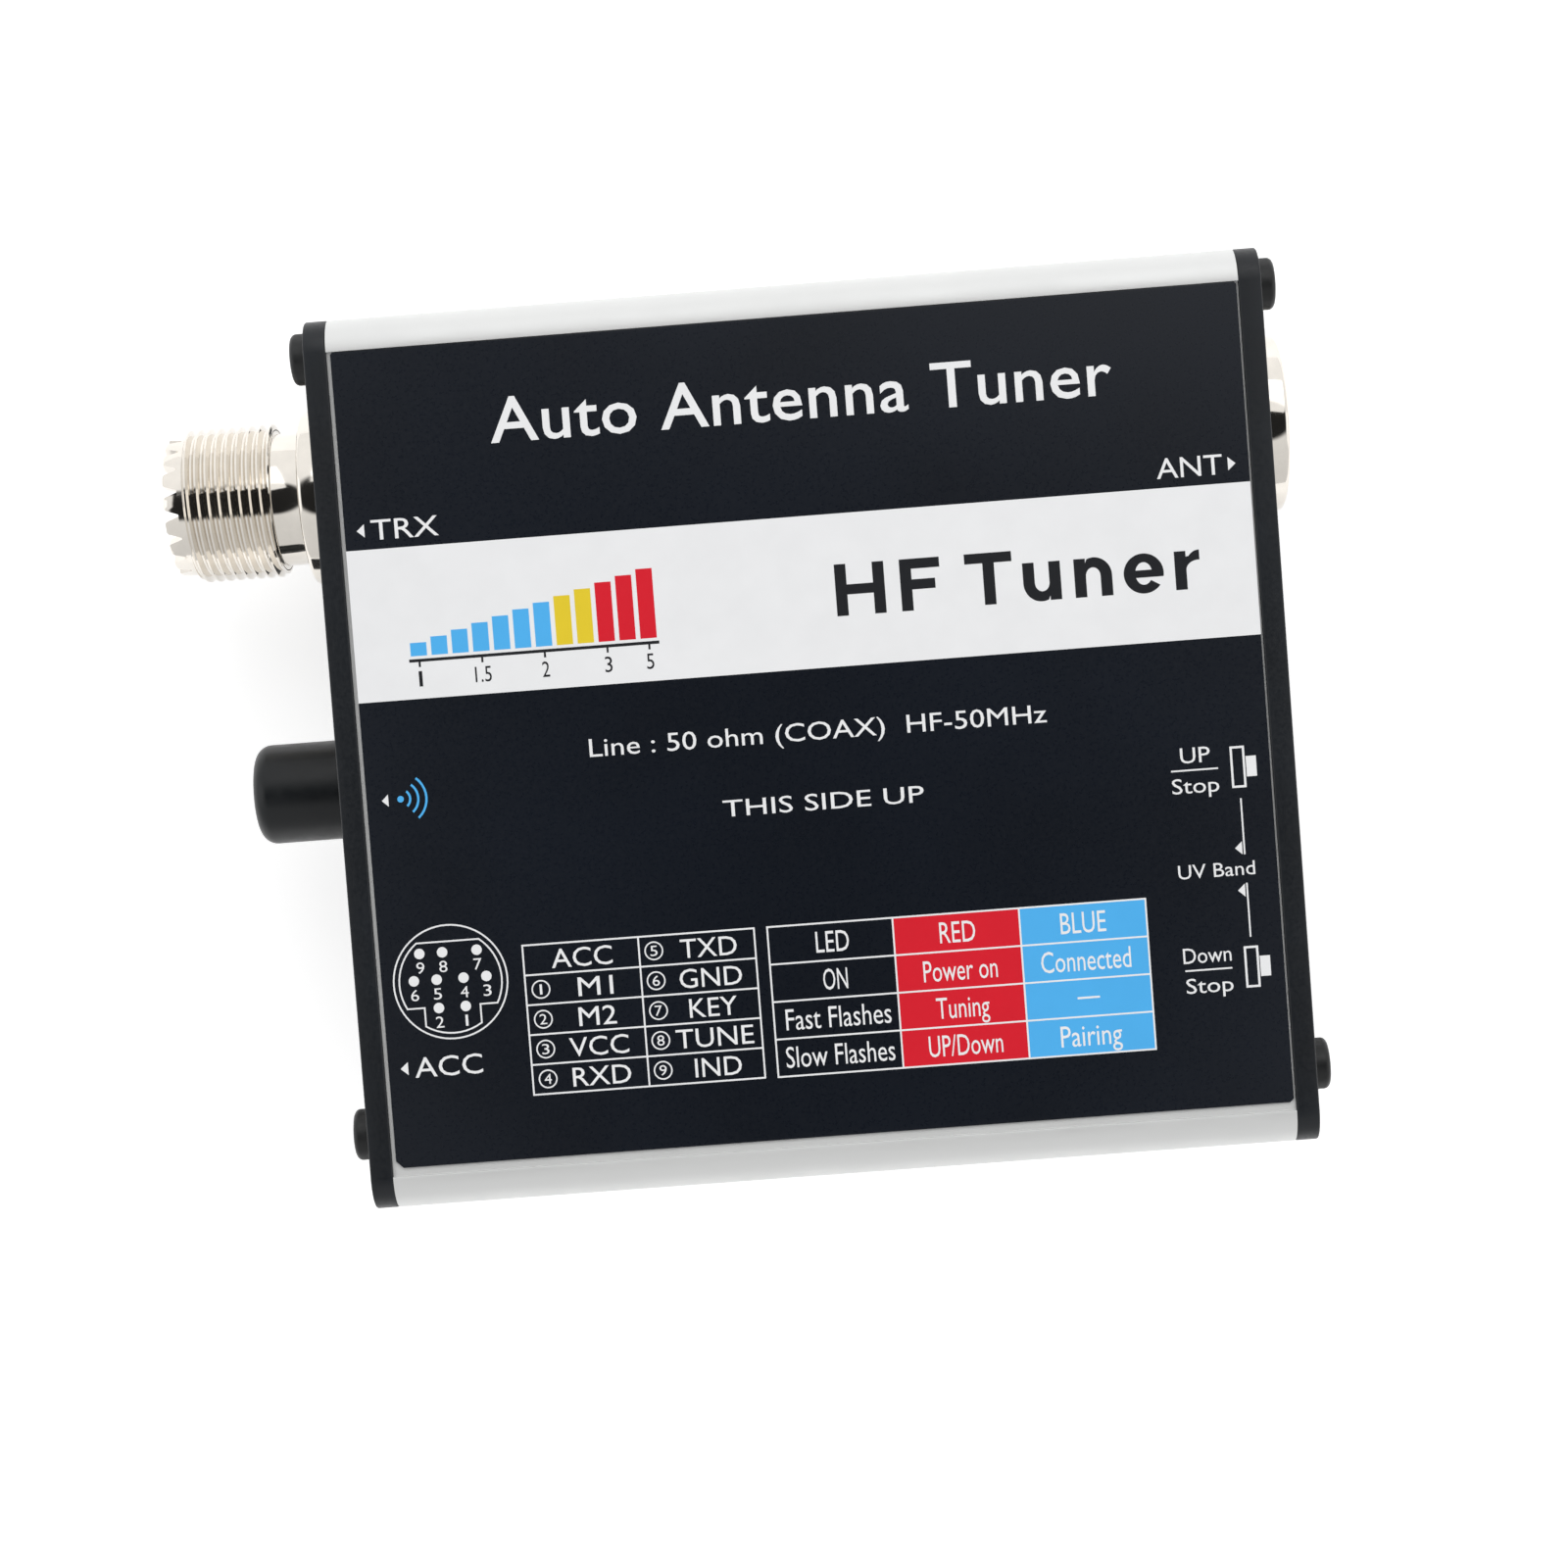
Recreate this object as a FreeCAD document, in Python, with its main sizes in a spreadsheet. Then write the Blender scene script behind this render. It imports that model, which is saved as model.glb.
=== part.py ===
import FreeCAD, Part
import math
import os
import Sketcher

# Antenna tuner in a split aluminium extrusion, in millimetres.
# X runs along the extrusion, with the transceiver jack on the -X end.
# +Z is up, and the origin is the centre of the underside.

# Driving sizes: alias, value, what it is.
SIZES = [
    ("case_length", 89.0, "extrusion, end to end"),
    ("case_width", 88.0, "extrusion, side to side"),
    ("case_height", 38.0, "both half shells together"),
    ("corner_radius", 3.4, "outer corner of the extrusion"),
    ("wall", 1.6, "extrusion wall"),
    ("tongue_depth", 1.0, "tongue that locks one half shell in the other"),
    ("tongue_thickness", 0.7, "tongue, across the wall"),
    ("seam_gap", 0.1, "play round the tongue"),
    ("recess_depth", 0.4, "recess for the printed film"),
    ("lip", 0.05, "flat between the shoulder and the recess"),
    ("film_thickness", 0.3, "printed film"),
    ("film_left_gap", 0.4, "bare metal at the film's -X end"),
    ("film_right_gap", 0.2, "bare metal at the film's +X end"),
    ("film_near_gap", 0.85, "recess floor left bare on the -Y side"),
    ("film_far_gap", 0.05, "recess floor left bare on the +Y side"),
    ("film_corner", 0.8, "film corner"),
    ("plate_thickness", 2.25, "end plates"),
    ("plate_edge", 0.4, "rounding of an end plate's outer edge"),
    ("screw_outer_inset", 3.35, "outer screw port, in from the side face"),
    ("screw_inner_inset", 7.15, "inner screw port, in from the side face"),
    ("screw_drop", 5.5, "screw ports, below the top face"),
    ("screw_length", 10.0, "screw, under the head"),
    ("screw_radius", 1.45, "screw shank"),
    ("screw_play", 0.1, "shank to plate hole and to port"),
    ("screw_head_radius", 2.55, "screw head"),
    ("screw_head_height", 1.9, "screw head"),
    ("hex_radius", 1.15, "hex socket, centre to corner"),
    ("hex_depth", 1.2, "hex socket"),
    ("port_wall", 1.15, "metal round a screw port"),
    ("rail_width", 2.0, "board rail, out from the wall"),
    ("rail_height", 1.5, "board rail"),
    ("board_seat", 10.8, "top of the lower board rail, above the base"),
    ("board_thickness", 1.6, "main board"),
    ("board_play", 0.2, "board edge to wall, and board to upper rail"),
    ("board_end_gap", 0.5, "board end to end plate"),
    ("fit_gap", 0.05, "play of parts that stay together"),
    ("rf_inset", 16.1, "radio connectors, in from the +Y side face"),
    ("flange_radius", 9.05, "connector flange"),
    ("flange_thickness", 3.4, "connector flange"),
    ("neck_radius", 6.85, "relief between flange and thread"),
    ("neck_length", 3.05, "relief between flange and thread"),
    ("thread_radius", 7.9375, "outer thread, 5/8 inch"),
    ("thread_length", 8.95, "outer thread"),
    ("crown_radius", 7.1, "toothed ring at the mouth"),
    ("crown_length", 2.0, "toothed ring at the mouth"),
    ("crown_tooth_depth", 1.5, "notches in the toothed ring"),
    ("crown_teeth", 18, "teeth round the mouth"),
    ("mouth_radius", 5.9, "inside of the jack"),
    ("mouth_depth", 2.4, "mouth edge to the insulator"),
    ("contact_bore", 2.0, "centre contact, inside radius"),
    ("contact_radius", 2.8, "centre contact, outside radius"),
    ("contact_depth", 13.0, "centre contact bore"),
    ("tail_radius", 1.5, "solder tail of a centre contact"),
    ("tail_length", 3.0, "solder tail behind the connector"),
    ("barrel_radius", 6.0, "connector barrel through the plate"),
    ("washer_thickness", 0.8, "toothed lock washer"),
    ("washer_radius", 8.0, "toothed lock washer"),
    ("nut_thickness", 2.5, "connector nut"),
    ("nut_radius", 8.66, "connector nut, centre to corner"),
    ("barrel_spare", 0.8, "barrel beyond the nut"),
    ("stud_radius", 4.25, "antenna socket thread, M10 tapping size"),
    ("stud_depth", 8.0, "antenna socket thread"),
    ("stub_offset", 2.55, "wireless stub antenna, from the centre line towards -Y"),
    ("stub_radius", 5.15, "rubber sleeve"),
    ("stub_length", 11.3, "sleeve tip, out from the end plate"),
    ("stub_round", 1.6, "rounding of the sleeve tip"),
    ("stub_stand_off", 0.1, "sleeve to end plate"),
    ("collar_radius", 4.2, "coupling nut inside the sleeve"),
    ("collar_length", 6.0, "coupling nut inside the sleeve"),
    ("coax_thread_radius", 3.15, "wireless jack thread"),
    ("coax_thread_length", 4.8, "wireless jack thread outside its flange"),
    ("coax_flange_radius", 3.9, "wireless jack flange"),
    ("coax_flange_thickness", 1.2, "wireless jack flange"),
    ("coax_dielectric_radius", 2.0, "wireless jack insulator"),
    ("coax_pin_radius", 0.45, "wireless jack pin"),
    ("coax_nut_radius", 4.6, "wireless jack nut, centre to corner"),
    ("coax_nut_thickness", 2.0, "wireless jack nut"),
    ("coax_washer_thickness", 0.6, "wireless jack washer"),
    ("coil_radius", 2.0, "close-wound antenna coil, outside"),
    ("coil_wire", 0.5, "antenna coil wire thickness"),
    ("coil_length", 2.4, "antenna coil"),
    ("acc_inset", 13.8, "accessory socket, in from the -Y side face"),
    ("acc_radius", 4.55, "accessory socket shell"),
    ("acc_shell_wall", 0.35, "accessory socket shell"),
    ("acc_proud", 0.2, "shell beyond the end plate"),
    ("acc_shell_length", 6.4, "accessory socket shell"),
    ("acc_insert_radius", 3.45, "insulator inside the shell"),
    ("acc_insert_set_back", 0.9, "insulator face behind the shell's edge"),
    ("acc_body_size", 13.2, "square socket block"),
    ("acc_body_length", 11.0, "socket block, along X"),
    ("acc_row", 1.75, "pin row spacing"),
    ("acc_key_depth", 0.7, "locating key in the insulator's edge"),
    ("acc_pin_bore", 0.5, "pin hole radius"),
    ("acc_pin_depth", 7.0, "pin hole depth"),
    ("acc_insert_floor", 1.0, "insulator behind the pin holes"),
    ("acc_terminal_radius", 0.42, "contact in a pin hole"),
    ("front_z", 16.4, "buttons and lamps, above the base"),
    ("down_inset", 14.5, "DOWN button, in from the -Y side face"),
    ("button_pitch", 21.7, "DOWN button to UP button"),
    ("lamp_blue_step", 12.1, "UP button to the blue lamp"),
    ("lamp_red_step", 10.7, "blue lamp to the red lamp"),
    ("lamp_radius", 1.5, "lamp lens"),
    ("lamp_proud", 0.4, "lamp lens beyond the plate, before its dome"),
    ("lamp_flange_radius", 1.9, "lamp flange"),
    ("lamp_flange_thickness", 1.0, "lamp flange"),
    ("lamp_lead", 0.5, "lamp lead, square"),
    ("lamp_lead_pitch", 2.54, "lamp lead spacing"),
    ("lamp_set_back", 2.5, "lamp flange behind the end plate"),
    ("lamp_play", 0.1, "lamp to plate hole"),
    ("button_radius", 1.75, "button plunger"),
    ("button_proud", 2.3, "button beyond the end plate"),
    ("button_edge", 0.3, "bevel of the button's end"),
    ("button_play", 0.25, "plunger to plate hole"),
    ("button_travel", 0.25, "button stroke"),
    ("guide_play", 0.08, "plunger to switch guide"),
    ("switch_size", 6.2, "switch block, across"),
    ("switch_depth", 3.6, "switch block, along X"),
    ("switch_gap", 0.5, "switch face behind the end plate"),
    ("switch_front", 0.6, "switch face wall"),
    ("shoulder_step", 0.55, "plunger shoulder, out from the plunger"),
    ("shoulder_thickness", 0.9, "plunger shoulder"),
    ("dome_thickness", 0.4, "snap dome, pressed flat"),
    ("relay_count", 4, "band relays"),
    ("relay_pitch", 12.0, "relay spacing"),
    ("relay_length", 20.2, "relay, along Y"),
    ("relay_width", 10.2, "relay, along X"),
    ("relay_height", 10.5, "relay"),
    ("relay_x", -12.0, "first relay"),
    ("relay_y", -24.0, "relay row"),
    ("core_radius", 10.1, "inductor core"),
    ("core_bore", 6.3, "inductor core hole"),
    ("core_height", 6.4, "inductor core"),
    ("winding_depth", 1.3, "wire and lacquer round a core"),
    ("inductor_x", -6.0, "first inductor"),
    ("inductor_pitch", 25.0, "inductor spacing"),
    ("inductor_y", 24.0, "inductor row"),
    ("bridge_radius", 5.0, "directional coupler core"),
    ("bridge_bore", 2.4, "directional coupler core hole"),
    ("bridge_height", 5.0, "directional coupler core"),
    ("bridge_x", -27.0, "directional coupler"),
    ("module_length", 20.0, "wireless module board, along X"),
    ("module_width", 14.0, "wireless module board, along Y"),
    ("module_thickness", 1.0, "wireless module board"),
    ("module_x", -25.5, "wireless module centre"),
    ("shield_length", 12.0, "module shield, along X"),
    ("shield_width", 10.0, "module shield, along Y"),
    ("shield_height", 1.8, "module shield"),
    ("pigtail_radius", 0.7, "coax pigtail"),
]


class Size:
    """A length with its value and the spreadsheet formula that drives it."""

    def __init__(self, value, text):
        self.value = value
        self.text = text

    def __add__(self, other):
        other = size(other)
        return Size(self.value + other.value, "(%s + %s)" % (self.text, other.text))

    def __sub__(self, other):
        other = size(other)
        return Size(self.value - other.value, "(%s - %s)" % (self.text, other.text))

    def __mul__(self, other):
        other = size(other)
        return Size(self.value * other.value, "(%s * %s)" % (self.text, other.text))

    def __truediv__(self, other):
        other = size(other)
        return Size(self.value / other.value, "(%s / %s)" % (self.text, other.text))

    def __neg__(self):
        return Size(-self.value, "(0 - %s)" % self.text)


def size(thing):
    """Wrap a plain number as a Size."""
    if isinstance(thing, Size):
        return thing
    return Size(float(thing), "(%s)" % repr(float(thing)))


class Sheet:
    """The spreadsheet's values, by alias."""


def make_sheet(doc):
    sheet = doc.addObject("Spreadsheet::Sheet", "dims")
    sizes = Sheet()
    for row, (alias, value, note) in enumerate(SIZES, start=1):
        sheet.set("A%d" % row, note)
        sheet.set("B%d" % row, str(value))
        sheet.setAlias("B%d" % row, alias)
        setattr(sizes, alias, Size(float(value), "dims." + alias))
    doc.recompute()
    return sizes


DOC = FreeCAD.newDocument("antenna_tuner")
D = make_sheet(DOC)
NODES = []

ORIGIN = FreeCAD.Vector(0, 0, 0)
UPRIGHT = FreeCAD.Rotation()
ALONG_X = FreeCAD.Rotation(FreeCAD.Vector(0, 1, 0), 90)
CROSS_AXES = {"x": ("y", "z"), "z": ("x", "y")}


def node(label, item):
    """Name a finished sub-part and keep it for export."""
    item.Label = label
    NODES.append(item)
    return item


def bind(item, prop, length):
    item.setExpression(prop, size(length).text)


def block(name, x, y, z):
    """A box between the two ends given for each axis."""
    item = DOC.addObject("Part::Box", name)
    for prop, axis, (low, high) in (("Length", "x", x), ("Width", "y", y), ("Height", "z", z)):
        bind(item, prop, size(high) - low)
        bind(item, "Placement.Base." + axis, low)
    return item


def centred(middle, span):
    """Both ends of a span about its middle."""
    return (size(middle) - size(span) / 2, size(middle) + size(span) / 2)


def along(item, axis, centre, start):
    """Stand a primitive on its axis, with the axis through centre."""
    item.Placement = FreeCAD.Placement(ORIGIN, ALONG_X if axis == "x" else UPRIGHT)
    bind(item, "Placement.Base." + axis, start)
    for cross, place in zip(CROSS_AXES[axis], centre):
        bind(item, "Placement.Base." + cross, place)
    return item


def rod(name, axis, centre, span, radius):
    item = DOC.addObject("Part::Cylinder", name)
    bind(item, "Radius", radius)
    bind(item, "Height", size(span[1]) - span[0])
    return along(item, axis, centre, span[0])


def hexagon(name, axis, centre, span, corner_radius):
    item = DOC.addObject("Part::Prism", name)
    item.Polygon = 6
    bind(item, "Circumradius", corner_radius)
    bind(item, "Height", size(span[1]) - span[0])
    return along(item, axis, centre, span[0])


def fuse(name, items):
    item = DOC.addObject("Part::MultiFuse", name)
    item.Shapes = items
    item.Refine = True
    return item


def cut(name, base, tools):
    item = DOC.addObject("Part::Cut", name)
    item.Base = base
    item.Tool = tools[0] if len(tools) == 1 else fuse(name + "_tools", tools)
    item.Refine = True
    return item


def together(name, items):
    """Separate solids that share one node."""
    item = DOC.addObject("Part::Compound", name)
    item.Links = items
    return item


def tube(name, axis, centre, span, outer, inner):
    reach = (size(span[0]) - 1, size(span[1]) + 1)
    return cut(name, rod(name + "_outer", axis, centre, span, outer),
               [rod(name + "_inner", axis, centre, reach, inner)])


# Planes and lines that several parts share.
HALF_LENGTH = D.case_length / 2
HALF_WIDTH = D.case_width / 2
MIDDLE_Z = D.case_height / 2
CAVITY_Y = HALF_WIDTH - D.wall
RF_Y = HALF_WIDTH - D.rf_inset
STUB_Y = -D.stub_offset
ACC_Y = D.acc_inset - HALF_WIDTH
DOWN_Y = D.down_inset - HALF_WIDTH
UP_Y = DOWN_Y + D.button_pitch
LAMP_BAND_Y = DOWN_Y + D.button_pitch / 2
LAMP_BLUE_Y = UP_Y + D.lamp_blue_step
LAMP_RED_Y = LAMP_BLUE_Y + D.lamp_red_step
PLATE_FACE = HALF_LENGTH + D.plate_thickness
BOARD_TOP = D.board_seat + D.board_thickness
RECESS_HALF = HALF_WIDTH - D.corner_radius - D.lip
PORT_HOLE = D.screw_radius + D.screw_play
RF_CENTRE = (RF_Y, MIDDLE_Z)
STUB_CENTRE = (STUB_Y, MIDDLE_Z)
ACC_CENTRE = (ACC_Y, MIDDLE_Z)


def screw_centres():
    """Screw positions (y, z): the lower half shell is the upper one turned over about X."""
    top = D.case_height - D.screw_drop
    outer = HALF_WIDTH - D.screw_outer_inset
    inner = HALF_WIDTH - D.screw_inner_inset
    return [(outer, top), (-inner, top), (-outer, D.screw_drop), (inner, D.screw_drop)]


def rounded_bar(name, half_width, top, radius, bottom, x):
    """A bar with its two upper corners rounded."""
    wide = block(name + "_wide", x, (-half_width, half_width), (bottom, top - radius))
    tall = block(name + "_tall", x, (radius - half_width, half_width - radius), (bottom, top))
    corners = []
    for side, place in (("near", radius - half_width), ("far", half_width - radius)):
        corners.append(rod(name + "_" + side, "x", (place, top - radius), x, radius))
    return fuse(name, [wide, tall] + corners)


def half_shell(name, with_recess):
    """One half of the extrusion, drawn as the upper half."""
    length = (-HALF_LENGTH, HALF_LENGTH)
    past = (-HALF_LENGTH - 1, HALF_LENGTH + 1)
    outer = rounded_bar(name + "_outer", HALF_WIDTH, D.case_height, D.corner_radius,
                        MIDDLE_Z, length)
    roof = D.case_height - D.recess_depth - D.wall
    hollow = rounded_bar(name + "_hollow", CAVITY_Y, roof, D.corner_radius - D.wall,
                         MIDDLE_Z - 1, past)
    shell = cut(name + "_walls", outer, [hollow])

    added = [shell]
    top_centre, inner_centre = screw_centres()[:2]
    port_radius = PORT_HOLE + D.port_wall
    for index, (y, z) in enumerate((top_centre, inner_centre)):
        added.append(rod("%s_port_%d" % (name, index), "x", (y, z), length, port_radius))
    web_y = centred(inner_centre[0], D.port_wall * 2)
    added.append(block(name + "_web", length, web_y, (inner_centre[1], roof + D.wall / 2)))
    rail_low = D.case_height - D.board_seat
    rail_high = rail_low - D.board_thickness - D.board_play
    for side in (-1, 1):
        edge = CAVITY_Y * side
        y = (edge - D.rail_width, edge + D.wall / 2) if side > 0 else \
            (edge - D.wall / 2, edge + D.rail_width)
        added.append(block("%s_rail_seat_%d" % (name, side > 0), length, y,
                           (rail_low, rail_low + D.rail_height)))
        added.append(block("%s_rail_hold_%d" % (name, side > 0), length, y,
                           (rail_high - D.rail_height, rail_high)))
    added.append(block(name + "_tongue", length, (CAVITY_Y, CAVITY_Y + D.tongue_thickness),
                       (MIDDLE_Z - D.tongue_depth, MIDDLE_Z + D.wall)))
    body = fuse(name + "_solid", added)

    groove_y = (-CAVITY_Y - D.tongue_thickness - D.seam_gap, -CAVITY_Y + D.wall)
    tools = [block(name + "_groove", past, groove_y,
                   (MIDDLE_Z - 1, MIDDLE_Z + D.tongue_depth + D.seam_gap))]
    for index, centre in enumerate((top_centre, inner_centre)):
        tools.append(rod("%s_hole_%d" % (name, index), "x", centre, past, PORT_HOLE))
    if with_recess:
        tools.append(block(name + "_recess", past, (-RECESS_HALF, RECESS_HALF),
                           (D.case_height - D.recess_depth, D.case_height + 1)))
    return cut(name, body, tools)


def make_case():
    node("upper_shell", half_shell("upper", True))
    lower = node("lower_shell", half_shell("lower", False))
    lower.Placement = FreeCAD.Placement(ORIGIN, FreeCAD.Rotation(FreeCAD.Vector(1, 0, 0), 180))
    bind(lower, "Placement.Base.z", D.case_height)


def sketch_on(body, name, role):
    """A sketch lying on one of the body's own planes."""
    plane = [f for f in body.Origin.OriginFeatures if f.Role == role][0]
    sketch = body.newObject("Sketcher::SketchObject", name)
    sketch.AttachmentSupport = [(plane, "")]
    sketch.MapMode = "FlatFace"
    return sketch


def constrain(sketch, kind, *where):
    """Add a size constraint whose last argument is the length that drives it."""
    length = size(where[-1])
    index = sketch.addConstraint(Sketcher.Constraint(kind, *where[:-1], length.value))
    sketch.setExpression("Constraints[%d]" % index, length.text)


def rounded_outline(sketch, left, right, bottom, top, radius):
    """A rounded rectangle, fixed by the centres of its corners and their radius."""
    corners = [
        (right - radius, top - radius, 0),
        (left + radius, top - radius, 90),
        (left + radius, bottom + radius, 180),
        (right - radius, bottom + radius, 270),
    ]
    arcs = []
    for across, up, start in corners:
        middle = FreeCAD.Vector(across.value, up.value, 0)
        circle = Part.Circle(middle, FreeCAD.Vector(0, 0, 1), radius.value)
        first = math.radians(start)
        arcs.append(sketch.addGeometry(Part.ArcOfCircle(circle, first, first + math.pi / 2)))
        constrain(sketch, "DistanceX", -1, 1, arcs[-1], 3, across)
        constrain(sketch, "DistanceY", -1, 1, arcs[-1], 3, up)
        constrain(sketch, "Radius", arcs[-1], radius)
    for index, arc in enumerate(arcs):
        following = arcs[(index + 1) % len(arcs)]
        start = sketch.getPoint(arc, 2)
        end = sketch.getPoint(following, 1)
        side = sketch.addGeometry(Part.LineSegment(start, end))
        sketch.addConstraint(Sketcher.Constraint("Tangent", arc, 2, side, 1))
        sketch.addConstraint(Sketcher.Constraint("Tangent", side, 2, following, 1))


def round_hole(sketch, across, up, radius):
    across, up = size(across), size(up)
    middle = FreeCAD.Vector(across.value, up.value, 0)
    circle = Part.Circle(middle, FreeCAD.Vector(0, 0, 1), radius.value)
    index = sketch.addGeometry(circle)
    constrain(sketch, "DistanceX", -1, 1, index, 3, across)
    constrain(sketch, "DistanceY", -1, 1, index, 3, up)
    constrain(sketch, "Radius", index, radius)


def end_plate(label, side, holes):
    """An end plate with its outer edge rounded; holes are (y, z, radius)."""
    body = DOC.addObject("PartDesign::Body", label)
    sketch = sketch_on(body, label + "_profile", "YZ_Plane")
    rounded_outline(sketch, -HALF_WIDTH, HALF_WIDTH, size(0), D.case_height, D.corner_radius)
    for y, z in screw_centres():
        round_hole(sketch, y, z, PORT_HOLE)
    for y, z, radius in holes:
        round_hole(sketch, y, z, radius)
    DOC.recompute()
    pad = body.newObject("PartDesign::Pad", label + "_pad")
    pad.Profile = sketch
    bind(pad, "Length", D.plate_thickness)
    DOC.recompute()
    outer_x = pad.Shape.BoundBox.XMax if side > 0 else pad.Shape.BoundBox.XMin
    rim = []
    for index, edge in enumerate(pad.Shape.Edges, start=1):
        flat = edge.BoundBox.XLength < 1e-6 and abs(edge.BoundBox.XMin - outer_x) < 1e-6
        if flat and not edge.isClosed():
            rim.append("Edge%d" % index)
    fillet = body.newObject("PartDesign::Fillet", label + "_edge")
    fillet.Base = (pad, rim)
    bind(fillet, "Radius", D.plate_edge)
    body.Tip = fillet
    bind(body, "Placement.Base.x", HALF_LENGTH if side > 0 else -PLATE_FACE)
    return node(label, body)


def make_plates():
    end_plate("left_end_plate", -1, [
        (RF_Y, MIDDLE_Z, D.barrel_radius + D.fit_gap),
        (STUB_Y, MIDDLE_Z, D.coax_thread_radius + D.fit_gap),
        (ACC_Y, MIDDLE_Z, D.acc_radius + D.fit_gap),
    ])
    lamp_hole = D.lamp_radius + D.lamp_play
    button_hole = D.button_radius + D.button_play
    end_plate("right_end_plate", 1, [
        (RF_Y, MIDDLE_Z, D.barrel_radius + D.fit_gap),
        (LAMP_RED_Y, D.front_z, lamp_hole),
        (LAMP_BLUE_Y, D.front_z, lamp_hole),
        (LAMP_BAND_Y, D.front_z, lamp_hole),
        (UP_Y, D.front_z, button_hole),
        (DOWN_Y, D.front_z, button_hole),
    ])


def make_film():
    body = DOC.addObject("PartDesign::Body", "top_label")
    sketch = sketch_on(body, "film_profile", "XY_Plane")
    rounded_outline(sketch, D.film_left_gap - HALF_LENGTH, HALF_LENGTH - D.film_right_gap,
                    D.film_near_gap - RECESS_HALF, RECESS_HALF - D.film_far_gap,
                    D.film_corner)
    DOC.recompute()
    pad = body.newObject("PartDesign::Pad", "film_pad")
    pad.Profile = sketch
    bind(pad, "Length", D.film_thickness)
    body.Tip = pad
    bind(body, "Placement.Base.z", D.case_height - D.recess_depth)
    node("top_label", body)


def outward(side, near, far):
    """The X span between two distances from the case centre, on one side."""
    return (near, far) if side > 0 else (-size(far), -size(near))


def make_screws(label, side):
    screws = []
    for index, (y, z) in enumerate(screw_centres()):
        name = "%s_%d" % (label, index)
        head_end = PLATE_FACE + D.screw_head_height
        head = rod(name + "_head", "x", (y, z), outward(side, PLATE_FACE, head_end),
                   D.screw_head_radius)
        shank = rod(name + "_shank", "x", (y, z),
                    outward(side, PLATE_FACE - D.screw_length, head_end - D.hex_depth),
                    D.screw_radius)
        socket = hexagon(name + "_hex", "x", (y, z),
                         outward(side, head_end - D.hex_depth, head_end + 1), D.hex_radius)
        screws.append(cut(name, fuse(name + "_solid", [head, shank]), [socket]))
    node(label, together(label, screws))


def rear_fastening(prefix, side):
    """Lock washer and nut that hold a connector's barrel behind the end plate."""
    washer_end = HALF_LENGTH - D.washer_thickness
    nut_end = washer_end - D.nut_thickness
    bore = D.barrel_radius + D.fit_gap
    node(prefix + "_lock_washer", tube(prefix + "_washer", "x", RF_CENTRE,
         outward(side, washer_end, HALF_LENGTH), D.washer_radius, bore))
    nut = hexagon(prefix + "_nut_blank", "x", RF_CENTRE, outward(side, nut_end, washer_end),
                  D.nut_radius)
    hole = rod(prefix + "_nut_hole", "x", RF_CENTRE,
               outward(side, nut_end - 1, washer_end + 1), bore)
    node(prefix + "_nut", cut(prefix + "_nut", nut, [hole]))
    return nut_end - D.barrel_spare


def make_trx_jack():
    """Threaded coaxial jack with a toothed mouth, on the -X end plate."""
    inner_end = rear_fastening("trx", -1)
    flange_end = PLATE_FACE + D.flange_thickness
    neck_end = flange_end + D.neck_length
    thread_end = neck_end + D.thread_length
    tip = thread_end + D.crown_length
    parts = [
        rod("trx_barrel", "x", RF_CENTRE, outward(-1, inner_end, flange_end), D.barrel_radius),
        rod("trx_flange", "x", RF_CENTRE, outward(-1, PLATE_FACE, flange_end),
            D.flange_radius),
        rod("trx_neck", "x", RF_CENTRE, outward(-1, flange_end, neck_end), D.neck_radius),
        rod("trx_thread", "x", RF_CENTRE, outward(-1, neck_end, thread_end), D.thread_radius),
        rod("trx_crown", "x", RF_CENTRE, outward(-1, thread_end, tip), D.crown_radius),
    ]
    tools = [rod("trx_mouth", "x", RF_CENTRE, outward(-1, inner_end - 1, tip + 1),
                 D.mouth_radius)]
    teeth = int(D.crown_teeth.value)
    notch_width = D.crown_radius * (math.pi / teeth)
    for index in range(teeth // 2):
        notch = block("trx_notch_%d" % index, (0, D.crown_tooth_depth + 1),
                      centred(0, notch_width), centred(0, D.crown_radius * 3))
        turned = together("trx_notch_turned_%d" % index, [notch])
        turned.Placement = FreeCAD.Placement(
            ORIGIN, FreeCAD.Rotation(FreeCAD.Vector(1, 0, 0), 360.0 * index / teeth))
        bind(turned, "Placement.Base.x", -(tip + 1))
        bind(turned, "Placement.Base.y", RF_Y)
        bind(turned, "Placement.Base.z", MIDDLE_Z)
        tools.append(turned)
    node("trx_jack_body", cut("trx_jack_body", fuse("trx_solid", parts), tools))

    face = tip - D.mouth_depth
    insulator = rod("trx_insulator_solid", "x", RF_CENTRE, outward(-1, inner_end, face),
                    D.mouth_radius - D.fit_gap)
    contact_hole = rod("trx_contact_hole", "x", RF_CENTRE,
                       outward(-1, inner_end - 1, face + 1), D.contact_radius + D.fit_gap)
    node("trx_jack_insulator", cut("trx_insulator", insulator, [contact_hole]))

    contact = fuse("trx_contact_solid", [
        rod("trx_contact_body", "x", RF_CENTRE, outward(-1, inner_end, face),
            D.contact_radius),
        rod("trx_contact_tail", "x", RF_CENTRE,
            outward(-1, inner_end - D.tail_length, inner_end + 1), D.tail_radius),
    ])
    bore = rod("trx_contact_bore", "x", RF_CENTRE,
               outward(-1, face - D.contact_depth, face + 1), D.contact_bore)
    node("trx_jack_contact", cut("trx_contact", contact, [bore]))
    make_lead("trx_lead", -1, inner_end)


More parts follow.
